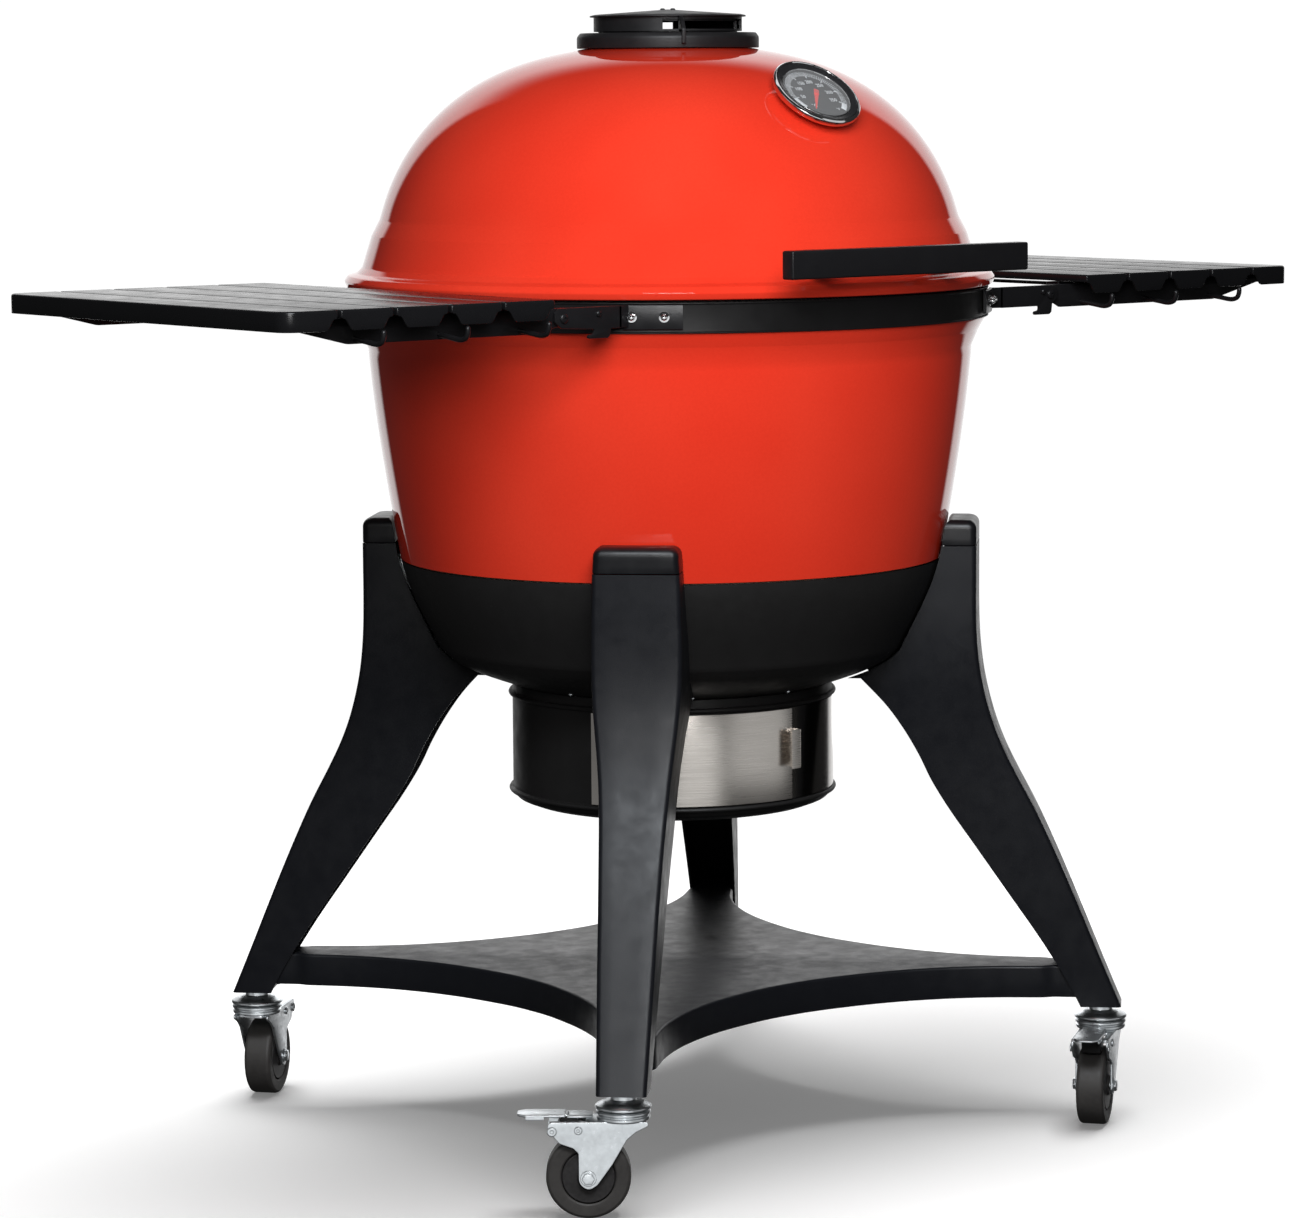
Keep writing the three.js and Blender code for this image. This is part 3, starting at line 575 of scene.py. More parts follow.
def screw(T, r, h, name, body="root", mat="zinc_plate", slot=None):
    """Pan head with a round, conical recess in its top."""
    p = Part()
    p.add(lathe([(0, 0), (r, 0), (r, h * 0.35)] + [(r * math.cos(a * D), h * (0.35 + 0.65 * math.sin(a * D))) for a in range(15, 75, 15)]
                + [(r * 0.30, h * 0.98), (r * 0.22, h * 0.55), (0, h * 0.55)], 28, False))
    p.v = [xf(v, T) for v in p.v]
    return p.put(name, mat, body, angle=40)


# ------------------------------------------------------------------ shells
DOME = [(66, 1094.5), (92, 1091), (104, 1088.4), (117, 1085.4), (129, 1082.4), (137, 1080.4), (162, 1072.4), (180, 1064.5), (194.5, 1056.5), (207, 1048.5),
        (218, 1040.4), (227.4, 1032.4), (236, 1024.4), (243.6, 1016.4), (250.7, 1008.4), (256.8, 1000.4), (262.4, 992.4), (267.5, 984.4),
        (272.6, 976.3), (276.8, 968.3), (280.3, 960.3), (283.4, 952.3), (286.5, 944.2), (289.1, 936.2), (291.8, 928.1)]
dome = smooth_line(DOME, 5, 64)
LIP = [(293.6, 922.0), (301.8, 906.5), (311.6, 875.0), (317.0, 869.2), (326.2, 866.6), (330.0, 861.0), (327.3, 854.3), (322.4, 854.0)]
outer = dome[:-1] + fillet([dome[-1]] + LIP, [0, 9, 9, 5, 5, 3.4, 3.2, 2.4, 0], 7, False)[1:]
inner = offset_line(outer, -2.0)
shell = outer + [tuple(q) for q in reversed(inner)]
put("lid_shell_skin", *lathe(shell, 256), "red_enamel", "lid", "red_enamel", ("lid_shell",), angle=40)

LID_IN = [(315.5, 857.6), (308.2, 868.5), (305.4, 880), (290.4, 919.5)]
lin_out = fillet(LID_IN, 3, 3, False) + [(r * 0.9875 - 0.2, z - 4.3) for r, z in reversed(dome[6:-3])] + [(72, 1088.0)]
lin_in = smooth_line([(72, 1074), (128, 1061), (163, 1047), (196, 1029), (222, 1009), (242, 988), (258, 965), (270, 940), (279, 912), (290, 885), (301, 857.6)], 4, 40)
put("lid_liner_cast", *lathe(lin_out + [tuple(q) for q in lin_in], 160), "refractory", "lid", "refractory", ("lid_liner",), angle=40)

KET = [(307, 793), (305, 772), (303, 757), (300, 731.6), (297, 705), (294, 678), (290, 660), (287, 639), (284.6, 629), (280, 603), (276.9, 579.2)]
ket = smooth_line(KET, 3, 30)
ko = fillet([(320.7, 846), (320.7, 821.5), (313.4, 808.5), ket[0]], [0, 4, 14, 0], 7, False)[:-1] + ket
ki = offset_line(ko, -2.0)
put("kettle_shell_skin", *lathe(ko + [tuple(q) for q in reversed(ki)], 256), "red_enamel", "root", "red_enamel", ("base_shell",), angle=40)

BOWL = [(275.4, 577.2), (271.8, 563), (268, 550), (260.6, 532), (252, 516), (238, 488), (226, 476), (210, 467.4), (191.6, 460), (178, 455), (164.6, 450.8)]
bo = fillet([(275.6, 577.4)] + BOWL[1:], 16, 5, False)
bo = smooth_line(BOWL[:6], 3, 20)[:-1] + catmull([(238, 488), (226, 476.6), (210, 467.6), (191.6, 460.2), (164.8, 450.9)], 8).tolist()
bo = [tuple(q) for q in bo]
bi = offset_line(bo, -2.0)
put("lower_bowl_skin", *lathe(bo + [tuple(q) for q in reversed(bi)], 224), "heat_black", "root", "heat_black", ("lower_bowl",), angle=40)

bl = [(316.2, 846), (316.2, 823.8), (302.4, 794), (295.6, 731.3), (285.4, 661), (271.5, 585), (262, 545), (246, 515.5), (228, 492.5), (200, 474.5), (150, 458.5),
      (150, 476), (180, 486), (206, 500), (240, 548), (262, 640), (276, 740), (272, 780), (270, 799.8), (288, 799.8), (288, 806), (299, 826), (301, 846)]
put("kettle_liner_cast", *lathe(fillet(bl, [3, 5, 20, 40, 60, 40, 30, 20, 20, 30, 3, 3, 20, 20, 40, 60, 30, 20, 2, 0, 3, 10, 3], 4), 160),
    "refractory", "root", "refractory", ("base_liner",), angle=40)
put("rim_gasket_rope", *lathe(fillet([(316, 846.3), (316, 857), (303, 857), (303, 846.3)], 2.6, 5), 200), "fibre_gasket", "root", "fibre_gasket", ("rim_gasket",))
band = fillet([(321.1, 822.4), (323.4, 822.4), (323.4, 823.4), (322.6, 824.4), (322.6, 849.6), (323.4, 850.6), (323.4, 852.0), (320.9, 852.0), (320.9, 849.0), (321.1, 824.0)],
              [0.3, 0.6, 0.6, 0.8, 0.8, 0.6, 0.6, 0.3, 0.3, 0.3], 3)
put("rim_band_strip", *lathe(band, 240), "band_black", "root", "satin_black", ("rim_band",), angle=50)

# ------------------------------------------------------------- ash housing
HP = fillet([(0, 326), (146, 326), (160.5, 331.5), (163.6, 337.4), (167.2, 337.4), (168.2, 339.3), (167.2, 341.4), (164, 341.8), (164, 436.4), (167.2, 436.8), (168.2, 438.8),
             (167.2, 440.8), (164, 441.2), (164, 450.2), (161.8, 450.2), (161.8, 338), (147, 328.6), (0, 328.6)],
            [0, 14, 14, 1, 1, 1.2, 1, 0.6, 0.6, 1, 1.2, 1, 0.6, 0.8, 0.8, 8, 6, 0], 4, False)


def ring_with_slots(profile_rz, slots, z_lo, z_hi, segs=288):
    """Turned wall from profile_rz, open at its ends. slots, z_lo and z_hi are not used, so no openings are cut."""
    v, f = lathe(profile_rz, segs, False)
    return v, f


def sleeve(r0, r1, az0, az1, z0, z1, slots=(), step=1.0, rr=0.0):
    """Curved sheet with rectangular openings (az0, az1, z0, z1), closed on every side."""
    az = set(np.round(np.arange(az0, az1 + 1e-6, step), 4).tolist() + [az1])
    zs = {z0, z1}
    for s in slots:
        az |= {s[0], s[1]}
        zs |= {s[2], s[3]}
    az, zs = sorted(az), sorted(zs)
    nz, na = len(zs), len(az)
    vid = {}
    v, f = [], []

    def vert(side, i, k):
        key = (side, i, k)
        if key not in vid:
            r = (r0, r1)[side]
            vid[key] = len(v)
            v.append(at(r, az[i], zs[k]))
        return vid[key]

    def solid(i, k):
        if not (0 <= i < na - 1 and 0 <= k < nz - 1):
            return False
        a, z = (az[i] + az[i + 1]) / 2, (zs[k] + zs[k + 1]) / 2
        return not any(s[0] < a < s[1] and s[2] < z < s[3] for s in slots)
    for i in range(na - 1):
        for k in range(nz - 1):
            if not solid(i, k):
                continue
            for side in (0, 1):
                f.append((vert(side, i, k), vert(side, i + 1, k), vert(side, i + 1, k + 1), vert(side, i, k + 1)))
            if not solid(i - 1, k):
                f.append((vert(0, i, k), vert(1, i, k), vert(1, i, k + 1), vert(0, i, k + 1)))
            if not solid(i + 1, k):
                f.append((vert(0, i + 1, k), vert(1, i + 1, k), vert(1, i + 1, k + 1), vert(0, i + 1, k + 1)))
            if not solid(i, k - 1):
                f.append((vert(0, i, k), vert(1, i, k), vert(1, i + 1, k), vert(0, i + 1, k)))
            if not solid(i, k + 1):
                f.append((vert(0, i, k + 1), vert(1, i, k + 1), vert(1, i + 1, k + 1), vert(0, i + 1, k + 1)))
    return v, f


SLOTS = [(-55 + 19 * k, -55 + 19 * k + 16, 356, 424) for k in range(3)]
p = Part()
lowp = fillet([(0, 326), (146, 326), (160.5, 331.5), (163.6, 337.4), (167.2, 337.4), (168.2, 339.3), (167.2, 341.4), (164, 341.8), (164, 344), (161.8, 344), (161.8, 338), (147, 328.6), (0, 328.6)],
              [0, 14, 14, 1, 1, 1.2, 1, 0.6, 0, 0, 8, 6, 0], 5, False)
p.add(lathe(lowp, 192, False))
upp = fillet([(164, 434), (164, 436.4), (167.2, 436.8), (168.2, 438.8), (167.2, 440.8), (164, 441.2), (164, 450.2), (161.8, 450.2), (161.8, 434)],
             [0, 0.6, 1, 1.2, 1, 0.6, 0.8, 0.8, 0], 4)
p.add(lathe(upp, 192))
p.add(sleeve(161.8, 164, -180, 180, 344, 434, SLOTS, 2.0))
p.put("ash_housing_drum", "heat_black", "root", slot="heat_black", replaces=("ash_housing",), angle=40)
put("draft_ring_sleeve", *sleeve(164.4, 165.4, -68, 78, 343, 435, SLOTS), "stainless_dark", "root", "stainless", ("draft_ring",))
put("air_door_sheet", *sleeve(165.9, 167.1, -60, 7.5, 343.2, 434.8), "stainless", "air_door", "stainless", ("air_door",), bevel=0.3)
p = Part()
T = rotz(7.5 - 90)
p.add(slab(fillet([(166.6, 375), (177.6, 375), (177.6, 415), (166.6, 415)], [0.5, 1.5, 1.5, 0.5], 3), -1.3, 0, 0.4, 2), 0, T @ XZ)
p.add(slab(fillet([(168.2, 375), (177.6, 375), (177.6, 415), (168.2, 415)], [0.5, 1.0, 1.0, 0.5], 3), 0, 1.0, 0.3, 2), 0, np.array(Matrix.Rotation(0, 4, "Z")) @ T @ XZ)
p.add(sleeve(176.6, 177.7, 3.7, 7.3, 375.4, 414.6, (), 0.6))
p.put("air_door_tab", "stainless", "air_door", angle=35)
for i, a in enumerate((-118, -75, -32, 4, 47, 90, 133, 176, 219)):
    q = at(170.6, a, 452.9)
    nrm = (0.32 * math.sin(a * D), -0.32 * math.cos(a * D), -0.95)
    screw(aim(q, nrm), 2.3, 1.4, f"housing_screw_{i + 1}", "root", "zinc_plate")

pan = fillet([(0, 329), (143, 329), (151, 334), (151, 374), (152.6, 375), (152.6, 376.2), (149.6, 376.2), (149, 374), (149, 335.2), (142.4, 331), (0, 331)],
             [0, 4, 5, 1, 0.6, 0.6, 0.6, 1, 5, 4, 0], 4, False)
put("ash_pan_pressed", *lathe(pan, 128, False), "galvanised", "root", "galvanised", ("ash_pan",))

# ------------------------------------------------------------ fire bowl set
p = Part()
p.add(tube([at(163.6, a, 487.2) for a in np.arange(0, 360, 3)], 2.6, 12, closed=True))
for i in range(-6, 7):
    x = i * 24.0
    h = math.sqrt(163.6 ** 2 - x * x)
    p.add(tube([(x, -h, 487.2), (x, 0, 487.2), (x, h, 487.2)], 2.4, 12))
for y in (-80, 80):
    h = math.sqrt(163.6 ** 2 - y * y)
    p.add(tube([(-h, y, 486.8), (0, y, 486.8), (h, y, 486.8)], 2.2, 12))
p.put("charcoal_grate_bars", "cast_iron", "root", slot="cast_iron", replaces=("charcoal_grate",))
put("fire_ring_cast", *lathe(fillet([(205, 500.8), (205, 629.8), (193, 629.8), (193, 500.8)], 2.5, 4), 144), "refractory", "root", "refractory", ("fire_ring",))
p = Part()
p.add(slab(circle(228, 128), 630.6, 642.4, 2.5, 4))
for a in (90, 210, 330):
    p.add(slab(fillet([(220, -16), (252, -14), (252, 14), (220, 16)], 5, 4), 631.2, 641.8, 2, 3), 0, rotz(a))
p.put("heat_deflector_slab", "refractory", "root", slot="refractory", replaces=("heat_deflector",))

# cooking grate: wire bars in a ring, with a hinged flap each side
p = Part()
GZ = 803.6
p.add(tube([at(280.4, a, GZ) for a in np.arange(0, 360, 2)], 2.9, 12, closed=True))
for s in (-1, 1):
    h = math.sqrt(280.4 ** 2 - 107 ** 2)
    p.add(tube([(s * 107, -h, GZ), (s * 107, 0, GZ), (s * 107, h, GZ)], 2.5, 12))
for i in range(-5, 6):
    x = i * 17.8
    h = math.sqrt(280.4 ** 2 - x * x)
    p.add(tube([(x, -h, GZ + 0.6), (x, 0, GZ + 0.6), (x, h, GZ + 0.6)], 2.0, 10))
for y in (-120, 0, 120):
    p.add(tube([(-107, y, GZ - 1.0), (0, y, GZ - 1.0), (107, y, GZ - 1.0)], 2.0, 10))
for s in (-1, 1):
    for y in (-200, 200):
        p.add(tube([(s * 107, y, GZ + 1.5), (s * 110, y, GZ + 1.5), (s * 113.5, y, GZ + 1.2)], 1.2, 8))
p.put("cooking_grate_wires", "stainless_rod", "root", slot=REC_SLOT["cooking_grate"], replaces=("cooking_grate",))
for side, s in (("left", -1), ("right", 1)):
    p = Part()
    t = math.acos(118.8 / 270.0)
    arc = [(s * 270 * math.cos(a), 270 * math.sin(a), GZ) for a in np.linspace(-t, t, 60)]
    p.add(tube(arc, 2.4, 12))
    h = 270 * math.sin(t)
    p.add(tube([(s * 119.4, -h, GZ), (s * 119.4, 0, GZ), (s * 119.4, h, GZ)], 2.0, 12))
    for i in range(1, 8):
        x = 119.4 + i * 17.8
        hh = math.sqrt(270 ** 2 - x * x)
        p.add(tube([(s * x, -hh, GZ + 0.5), (s * x, 0, GZ + 0.5), (s * x, hh, GZ + 0.5)], 1.9, 10))
    for y in (-110, 110):
        hx = math.sqrt(270 ** 2 - y * y)
        p.add(tube([(s * 119.4, y, GZ - 1.0), (s * 180, y, GZ - 1.0), (s * hx, y, GZ - 1.0)], 1.9, 10))
    p.put(f"grate_flap_{side}_wires", "stainless_rod", f"grate_flap_{side}", slot=REC_SLOT["cooking_grate"], replaces=(f"grate_flap_{side}",))

# --------------------------------------------------------------------- vent
vb = fillet([(92, 1091.9), (92, 1103.5), (88.6, 1107.4), (70.2, 1107.4), (70.2, 1120.6), (67.2, 1120.6), (67.2, 1099.5), (61, 1099.5), (61, 1074), (64, 1074), (64, 1095.6), (70, 1095.4)],
            [0.8, 4.5, 1.6, 0.5, 0.8, 0.8, 0.5, 1, 0.8, 0.8, 0.5, 0.5], 5)
lower = fillet([(92, 1091.9), (92, 1103.0), (88.8, 1107.4), (70.2, 1107.4), (70.2, 1108.8), (67.2, 1108.8), (67.2, 1099.5), (61, 1099.5), (61, 1074), (64, 1074), (64, 1095.6), (70, 1095.4)],
               [0.8, 5.0, 2.5, 0, 0, 0, 0.5, 1, 0.8, 0.8, 0.5, 0.5], 5)
p = Part()
p.add(lathe(lower, 160))
p.add(sleeve(67.2, 70.2, -180, 180, 1108.8, 1120.6, [(-43, 43, 1109.6, 1118.6), (137, 180, 1109.6, 1118.6), (-180, -137, 1109.6, 1118.6)], 4.0))
p.put("vent_collar", "cast_black", "lid", slot="cast_black", replaces=("vent_base",), angle=42)
p = Part()
capp = fillet([(0, 1130.9), (74, 1125.8), (78.8, 1124.6), (78.8, 1123.2), (74.9, 1122.9), (74.9, 1121.0), (72.5, 1121.0), (72.3, 1122.2), (0, 1127.4)],
              [0, 4, 0.6, 0.5, 0.4, 0, 0, 0.5, 0], 4, False)
p.add(lathe(capp, 160, False))
p.add(sleeve(72.5, 74.9, -180, 180, 1108.8, 1121.4, [(-43, 43, 1110.6, 1120.6), (137, 180, 1110.6, 1120.6), (-180, -137, 1110.6, 1120.6)], 4.0))
fin = fillet([(73.6, 1109), (92.9, 1109), (92.9, 1096), (96.1, 1096), (96.1, 1110.5), (89, 1117.5), (78.4, 1123.4), (73.6, 1123.4)], [0, 0.5, 0.5, 1.2, 3, 3, 1, 0], 4)
p.add(slab(fin, -2, 2, 0.7, 3), 0, rotz(-90 - 29) @ XZ)
p.put("vent_cap_casting", "cast_black", "vent_cap", slot="cast_black", replaces=("vent_cap",), angle=42)
for i, (x, y) in enumerate(((-3.3, 4.1), (3.3, -4.1))):
    put(f"vent_cap_rivet_{i + 1}", *[xf(lathe([(0, 1130.2), (2.6, 1130.2), (2.5, 1131.2), (1.8, 1131.8), (0.8, 1132.0), (0, 1132.0)], 24, False)[0], rotz(0, x, y)),
                                     lathe([(0, 1130.2), (2.6, 1130.2), (2.5, 1131.2), (1.8, 1131.8), (0.8, 1132.0), (0, 1132.0)], 24, False)[1]],
        "cast_black", "vent_cap")

# ------------------------------------------------------------------- handle
hb = rect(-371, -355, 875, 902, 2.2, 5)
v, f = slab(hb, -150, 150, 1.8, 4)
put("handle_bar_extrusion", xf(v, YZ), f, "satin_black", "lid", "satin_black", ("handle_bar",), angle=40)
for side, s in (("left", -1), ("right", 1)):
    p = Part()
    prof = [(0, 0), (7.6, 0), (7.6, 44), (9.0, 47), (10.6, 49.4), (10.6, 51.5), (0, 51.5)]
    p.add(slab(rect(s * 75 - 7.6, s * 75 + 7.6, 879.5, 897.5, 3.5, 5), -355.0, -304.2, 0.3, 2), 0, XZ)
    p.add(slab(rect(s * 75 - 11, s * 75 + 11, 877, 899.5, 4.5, 5), -309.5, -303.8, 1.5, 3), 0, XZ)
    p.put(f"handle_post_{side}_block", "satin_black", "lid", slot="satin_black", replaces=(f"handle_post_{side}",))

# -------------------------------------------------------------- thermometer
TH = np.array(Matrix.Translation((0, -222, 1036.5)) @ Matrix.Rotation(40 * D, 4, "X"))


def th_put(name, vf, mat, body="lid", **kw):
    return put(name, xf(vf[0], TH), vf[1], mat, body, **kw)


th_put("thermometer_case_cup", lathe(fillet([(0, -58), (3.5, -58), (3.5, 2.4), (14, 2.4), (14, 4.2), (36, 5), (44.5, 8.4), (46, 11), (46, 14.8), (44.6, 16.4), (43.4, 16.6), (42.8, 15.8), (42.8, 10.4), (0, 10.4)],
                                            [0, 1, 0.5, 0.5, 0.8, 3, 2.5, 1.5, 1.2, 0.8, 0.4, 0.3, 0.3, 0], 4, False), 128, False),
       "chrome", slot="stainless", replaces=("thermometer_case",), angle=45)
th_put("thermometer_bezel_ring", lathe(fillet([(42.6, 11.9), (42.6, 15.6), (41.6, 16.0), (35.8, 13.8), (35.2, 12.0)], [0.3, 0.6, 0.8, 0.5, 0.2], 4), 128), "bezel_black", slot="dial_black")
th_put("thermometer_inner_ring", lathe(fillet([(35.9, 13.5), (36.3, 14.1), (35.4, 14.1), (35.0, 13.4)], 0.2, 3), 128), "chrome", slot="stainless")
th_put("thermometer_dial_face", lathe([(0, 10.8), (41.8, 10.8), (41.8, 11.7), (0, 11.7)], 96, False), "dial_black", slot="dial_black", replaces=("thermometer_dial",))
th_put("thermometer_glass", lathe(fillet([(0, 14.3), (35.0, 14.3), (35.0, 15.0), (0, 15.2)], 0.1, 2, False), 96, False), "lens_glass", slot="lens_glass", replaces=("thermometer_lens",))


def dial_xy(r, a):
    """a clockwise from the top, seen from outside."""
    return (r * math.sin(a * D), r * math.cos(a * D))


p = Part()
a0, a1, NT = -100.0, 118.0, 60


def arc_band(r0, r1, s0, s1, z0=11.72, z1=11.84, step=2.0):
    n = max(2, int(abs(s1 - s0) / step))
    out = [dial_xy(r1, s0 + (s1 - s0) * i / n) for i in range(n + 1)] + [dial_xy(r0, s1 - (s1 - s0) * i / n) for i in range(n + 1)]
    return slab(out, z0, z1, 0.02, 1)


for i in range(NT + 1):
    a = a0 + (a1 - a0) * i / NT
    big = i % 10 == 0
    w = 0.42 if big else 0.26
    r1, r0 = 33.4, (24.6 if big else 27.2)
    c, s_ = math.cos(a * D), math.sin(a * D)
    q = [(r0 * s_ - w * c, r0 * c + w * s_), (r0 * s_ + w * c, r0 * c - w * s_), (r1 * s_ + w * c, r1 * c - w * s_), (r1 * s_ - w * c, r1 * c + w * s_)]
    p.add(slab(q, 11.72, 11.84, 0.02, 1))
p.add(arc_band(27.6, 33.2, -128, a0 + 1))
p.add(arc_band(27.6, 33.2, a1 - 1, 138))


def text_mesh(s, size):
    cu = bpy.data.curves.new("t", "FONT")
    cu.body, cu.size, cu.align_x, cu.align_y = s, size, "CENTER", "CENTER"
    cu.extrude = 0.06
    cu.resolution_u = 2
    ob = bpy.data.objects.new("t", cu)
    scene.collection.objects.link(ob)
    dg = bpy.context.evaluated_depsgraph_get()
    me = bpy.data.meshes.new_from_object(ob.evaluated_get(dg))
    v = np.array([q.co[:] for q in me.vertices])
    f = [tuple(q.vertices) for q in me.polygons]
    bpy.data.objects.remove(ob)
    bpy.data.curves.remove(cu)
    bpy.data.meshes.remove(me)
    return v, f


for i in range(7):
    a = a0 + (a1 - a0) * i / 6
    v, f = text_mesh(str(50 + 50 * i), 6.0)
    x, y = dial_xy(18.6, a)
    p.add((v * np.array([1.0, 1.1, 1.0]) + np.array([x, y, 11.78]), f))
for s_, (x, y), sz in (("°C", (-12.5, -16.5), 6.0), ("°F", (14, -22.5), 4.6)):
    v, f = text_mesh(s_, sz)
    p.add((v + np.array([x, y, 11.78]), f))
p.v = [xf(v, TH) for v in p.v]
p.put("thermometer_scale", "dial_white", "lid", slot="dial_black", angle=60, weld=0.0001)
p = Part()
nd = fillet([(-2.8, -7.5), (2.8, -7.5), (2.2, 4), (0.5, 26), (-0.5, 26), (-2.2, 4)], [1.2, 1.2, 2, 0.3, 0.3, 2], 3)
R = rotz(147)
p.add(slab(nd, 12.3, 12.9, 0.15, 2), 0, R)
p.add(lathe(fillet([(0, 12.2), (2.7, 12.2), (2.7, 13.4), (1.6, 13.9), (0, 13.9)], 0.3, 3, False), 32, False), 0)
p.v = [xf(v, TH) for v in p.v]
p.put("thermometer_pointer", "needle_red", "thermometer_needle", slot="needle_red", replaces=("thermometer_needle",))

# --------------------------------------------------------------- rear hinge
HY, HZ = 352.0, 852.0


def hround(r, b0, b1, n=12):
    return [(HY + r * math.cos((b0 + (b1 - b0) * i / n) * D), HZ + r * math.sin((b0 + (b1 - b0) * i / n) * D)) for i in range(n + 1)]


p = Part()
p.add(slab(rect(-45, 45, 825, 848, 3, 4), 324.2, 328.2, 0.8, 2), 0, XZ)
lug = [(324.8, 826.4), (330, 826.4)] + hround(8.3, -60, 120, 16) + [(324.8, 847.6)]
for x0 in (-40, 31):
    p.add(slab(lug, x0, x0 + 9, 1.0, 3), 0, YZ)
p.put("hinge_base_casting", "satin_black", "root", slot="satin_black", replaces=("hinge_base",))
p = Part()
v, f = lathe(fillet([(0, -47), (5.6, -47), (5.6, -44.6), (3.9, -44.2), (3.9, 44.2), (5.6, 44.6), (5.6, 47), (0, 47)], 0.6, 3, False), 32, False)
Tp = np.array(Matrix.Translation((0, HY, HZ)) @ Matrix.Rotation(90 * D, 4, "Y"))
p.add((xf(v, Tp), f))
p.put("hinge_pin_rod", "zinc_plate", "root", slot="zinc_plate", replaces=("hinge_pin",))
p = Part()
arm = hround(8.3, -150, 60, 18) + [(350, 873.6), (336, 883.6), (317.8, 889.6), (317.8, 904.6), (313.4, 904.6), (313.4, 878.2), (334, 871.8), (342.3, 861)]
for x0 in (-28, 19):
    p.add(slab(arm, x0, x0 + 9, 1.0, 3), 0, YZ)
p.add(slab(rect(-28, 28, 877.2, 904.8, 3, 4), 313.4, 317.6, 0.8, 2), 0, XZ)
p.put("hinge_strap_arms", "satin_black", "lid", slot="satin_black", replaces=("hinge_strap",))
for i, x in enumerate((-14, 14)):
    acorn(aim((x, 317.6, 897), (0, 1, 0)), 0.9, f"hinge_strap_nut_{i + 1}", "lid")
    acorn(aim((x * 1.0, 328.2, 836), (0, 1, 0)), 0.9, f"hinge_base_nut_{i + 1}", "root")

# --------------------------------------------------------------------- legs
LEG_OUT = [(313.6, 618), (313.4, 570), (313.4, 530), (313.8, 510), (315.2, 487), (318.6, 460), (325.0, 431), (332.6, 406), (341, 385), (354, 358.5), (371, 326.5), (399, 266), (421, 214), (440, 168), (461, 118)]
LEG_IN = [(420, 118), (412, 134), (387, 176), (346, 236), (312, 285), (283, 327), (268, 352), (255, 379), (240, 405), (223, 429), (197, 457)]
LEG_HALF = [(39.5, 618), (41.5, 606), (42.5, 585), (43.5, 545), (44, 510), (43, 475), (40.5, 445), (37.5, 418), (34.8, 390), (33, 365), (31.2, 330), (29.6, 290), (28.2, 245), (26.8, 200), (25.4, 158), (24, 118)]


def spline_of(pts):
    p = np.array(sorted([(z, a) for a, z in pts]), float)
    z, a = p[:, 0], p[:, 1]
    m = np.gradient(a, z)

    def ev(q):
        i = int(np.clip(np.searchsorted(z, q) - 1, 0, len(z) - 2))
        h = z[i + 1] - z[i]
        t = (q - z[i]) / h
        t = min(1, max(0, t))
        return float((2 * t**3 - 3 * t**2 + 1) * a[i] + (t**3 - 2 * t**2 + t) * h * m[i] + (-2 * t**3 + 3 * t**2) * a[i + 1] + (t**3 - t**2) * h * m[i + 1])
    return ev


leg_o, leg_i, leg_h = spline_of(LEG_OUT), spline_of(LEG_IN), spline_of(LEG_HALF)
env = sorted([(z, r) for r, z in [(292.6, 665), (286.4, 629), (279.0, 579), (272.0, 556), (262.5, 533.5), (253.8, 515.4), (239.6, 485.8), (227, 474.8), (211, 466.2), (192.4, 458.8), (164.8, 449.2)]])
env_z, env_r = [q[0] for q in env], [q[1] for q in env]


def env_at(z):
    return float(np.interp(z, env_z, env_r)) + 0.6


def leg_inner(z, t):
    if z <= 457:
        return leg_i(z)
    return math.sqrt(max(env_at(z) ** 2 - t * t, 1.0))


def leg_section(z, w=2.6, rc=5.0, n=5):
    o, h = leg_o(z), leg_h(z)
    i_out, i_in = leg_inner(z, h), leg_inner(z, h - w)

    def path(hh, oo, r, ii):
        arc = [(oo - r + r * math.sin(k * math.pi / 2 / n), -hh + r - r * math.cos(k * math.pi / 2 / n)) for k in range(n + 1)]
        mid = [(oo, t) for t in (-0.5 * (hh - r), 0.0, 0.5 * (hh - r))]
        return [(ii, -hh)] + arc + mid + [(a, -b) for a, b in reversed(arc)] + [(ii, hh)]
    outer_p = path(h, o, rc, i_out)
    inner_p = path(h - w, o - w, max(rc - w, 1.0), i_in)
    return [(a, b, z) for a, b in outer_p] + [(a, b, z) for a, b in reversed(inner_p)]


CORNERS = [("front_left", -135), ("front_right", -45), ("rear_right", 45), ("rear_left", 135)]
zs = sorted(set(list(np.linspace(118, 452, 56)) + [455, 457, 457.01, 460, 464] + list(np.linspace(470, 592, 26))))
leg_loops = [leg_section(z) for z in zs]
# lower end: sections are cut level with the ground
LEGV, LEGF = rings(leg_loops)


def cap_loops():
    loops = []
    R_ = 9.0
    levels = [(592.7, 0.6), (593.1, 0.15), (594.0, 0.0), (600, 0.0), (605, 0.0), (609, 0.0)] + [(618 - R_ + R_ * math.sin(a * D), R_ * (1 - math.cos(a * D))) for a in range(10, 91, 10)]
    for z, d in levels:
        h, o = leg_h(min(z, 606)) - d, leg_o(z) - d
        rc, n = 7.0, 6
        arc = [(o - rc + rc * math.sin(k * math.pi / 2 / n), -h + rc - rc * math.cos(k * math.pi / 2 / n)) for k in range(n + 1)]
        mid = [(o, t) for t in (-0.5 * (h - rc), 0.0, 0.5 * (h - rc))]
        out = arc + mid + [(a, -b) for a, b in reversed(arc)]
        back = [(math.sqrt(env_at(z) ** 2 - t * t) + 0.3 + d * 0.4, t) for t in np.linspace(h, -h, 13)]
        loops.append([(a, b, z) for a, b in out] + [(a, b, z) for a, b in back])
    return loops


